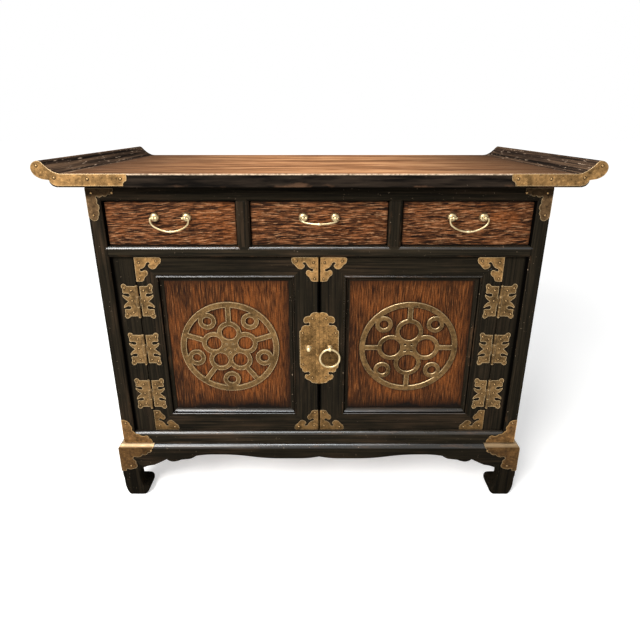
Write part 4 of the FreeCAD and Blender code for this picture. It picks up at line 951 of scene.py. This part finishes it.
# studio: pale floor, light from the upper left in front, a wide sheen panel overhead that only shows in reflections
studioLook = {
    "floorSize": 40.0, "floor": 0.8, "glow": (0.5, 0.85), "reach": (1.0, 4.0), "fill": 0.28,
    "overhead": {
        "at": (-0.4, -0.3, 2.5), "aim": (-0.1, -0.05, 0.7),
        "size": (2.0, 1.5), "watts": 26, "tint": (0.97, 0.99, 1.0),
    },
    "front": {
        "at": (-1.3, -2.2, 2.3), "aim": (-0.05, 0, 0.4),
        "size": (1.0, 1.0), "watts": 105, "tint": (1.0, 0.98, 0.95),
    },
    "sheen": {
        "at": (-0.65, -0.2, 2.3), "aim": (-0.65, -0.2, 0),
        "size": (2.0, 1.4), "watts": 150, "tint": (0.87, 0.94, 1.0),
    },
}


def addLamp(name, look):
    lamp = bpy.data.lights.new(name, "AREA")
    lamp.shape = "RECTANGLE"
    lamp.size, lamp.size_y = look["size"]
    lamp.energy = look["watts"]
    lamp.color = look["tint"]
    thing = bpy.data.objects.new(name, lamp)
    bpy.context.scene.collection.objects.link(thing)
    thing.location = look["at"]
    thing.rotation_euler = (Vector(look["aim"]) - Vector(look["at"])).to_track_quat("-Z", "Y").to_euler()
    return thing


def seenDirectly(tree):
    # 1 for what the camera sees, also in reflections, and 0 for the light that falls on things
    path = tree.nodes.new("ShaderNodeLightPath")
    last = path.outputs["Is Camera Ray"]
    for name in ("Is Glossy Ray", "Is Transmission Ray"):
        both = tree.nodes.new("ShaderNodeMath")
        both.operation = "MAXIMUM"
        tree.links.new(last, both.inputs[0])
        tree.links.new(path.outputs[name], both.inputs[1])
        last = both.outputs[0]
    return last


def makeFloor(look):
    half = look["floorSize"] / 2
    mesh = bpy.data.meshes.new("floor")
    mesh.from_pydata([(-half, -half, 0), (half, -half, 0), (half, half, 0), (-half, half, 0)], [], [(0, 1, 2, 3)])
    floor = bpy.data.objects.new("floor", mesh)
    bpy.context.scene.collection.objects.link(floor)
    paint = Finish("paleFloor", Roughness=0.9)
    paint.set(Base_Color=(look["floor"],) * 3 + (1.0,), Specular_IOR_Level=0.0, Emission_Color=(1, 1, 1, 1))
    away = paint.add("VectorMath", {0: paint.place}, operation="LENGTH").outputs["Value"]
    glow = paint.span(away, *look["reach"], *look["glow"])
    paint.set(Emission_Strength=paint.times(seenDirectly(paint.tree), glow))
    mesh.materials.append(paint.material)


def makeStudio(look):
    makeFloor(look)
    world = bpy.data.worlds.new("studio")
    world.use_nodes = True
    tree = world.node_tree
    sky = tree.nodes["Background"]
    sky.inputs["Color"].default_value = (1, 1, 1, 1)
    level = tree.nodes.new("ShaderNodeMapRange")
    tree.links.new(seenDirectly(tree), level.inputs[0])
    level.inputs[3].default_value = look["fill"]
    level.inputs[4].default_value = 1.0
    tree.links.new(level.outputs[0], sky.inputs["Strength"])
    bpy.context.scene.world = world
    addLamp("overhead", look["overhead"])
    addLamp("front", look["front"])
    addLamp("sheen", look["sheen"]).visible_diffuse = False


makeStudio(studioLook)

# camera solved from the photograph: a little above the top, tilted down
viewLook = {
    "at": (-0.002, -1.116, 0.8495), "tilt": 18.06, "lens": 25.59, "sensor": 36,
    "shift": (0.0027, -0.0781), "far": 100,
}
camera = bpy.data.objects.new("camera", bpy.data.cameras.new("camera"))
bpy.context.scene.collection.objects.link(camera)
camera.location = viewLook["at"]
camera.rotation_euler = (math.radians(90 - viewLook["tilt"]), 0, 0)
camera.data.sensor_width = viewLook["sensor"]
camera.data.lens = viewLook["lens"]
camera.data.shift_x, camera.data.shift_y = viewLook["shift"]
camera.data.clip_end = viewLook["far"]
bpy.context.scene.camera = camera
bpy.context.scene.view_settings.view_transform = "Standard"
print("studio and camera set")
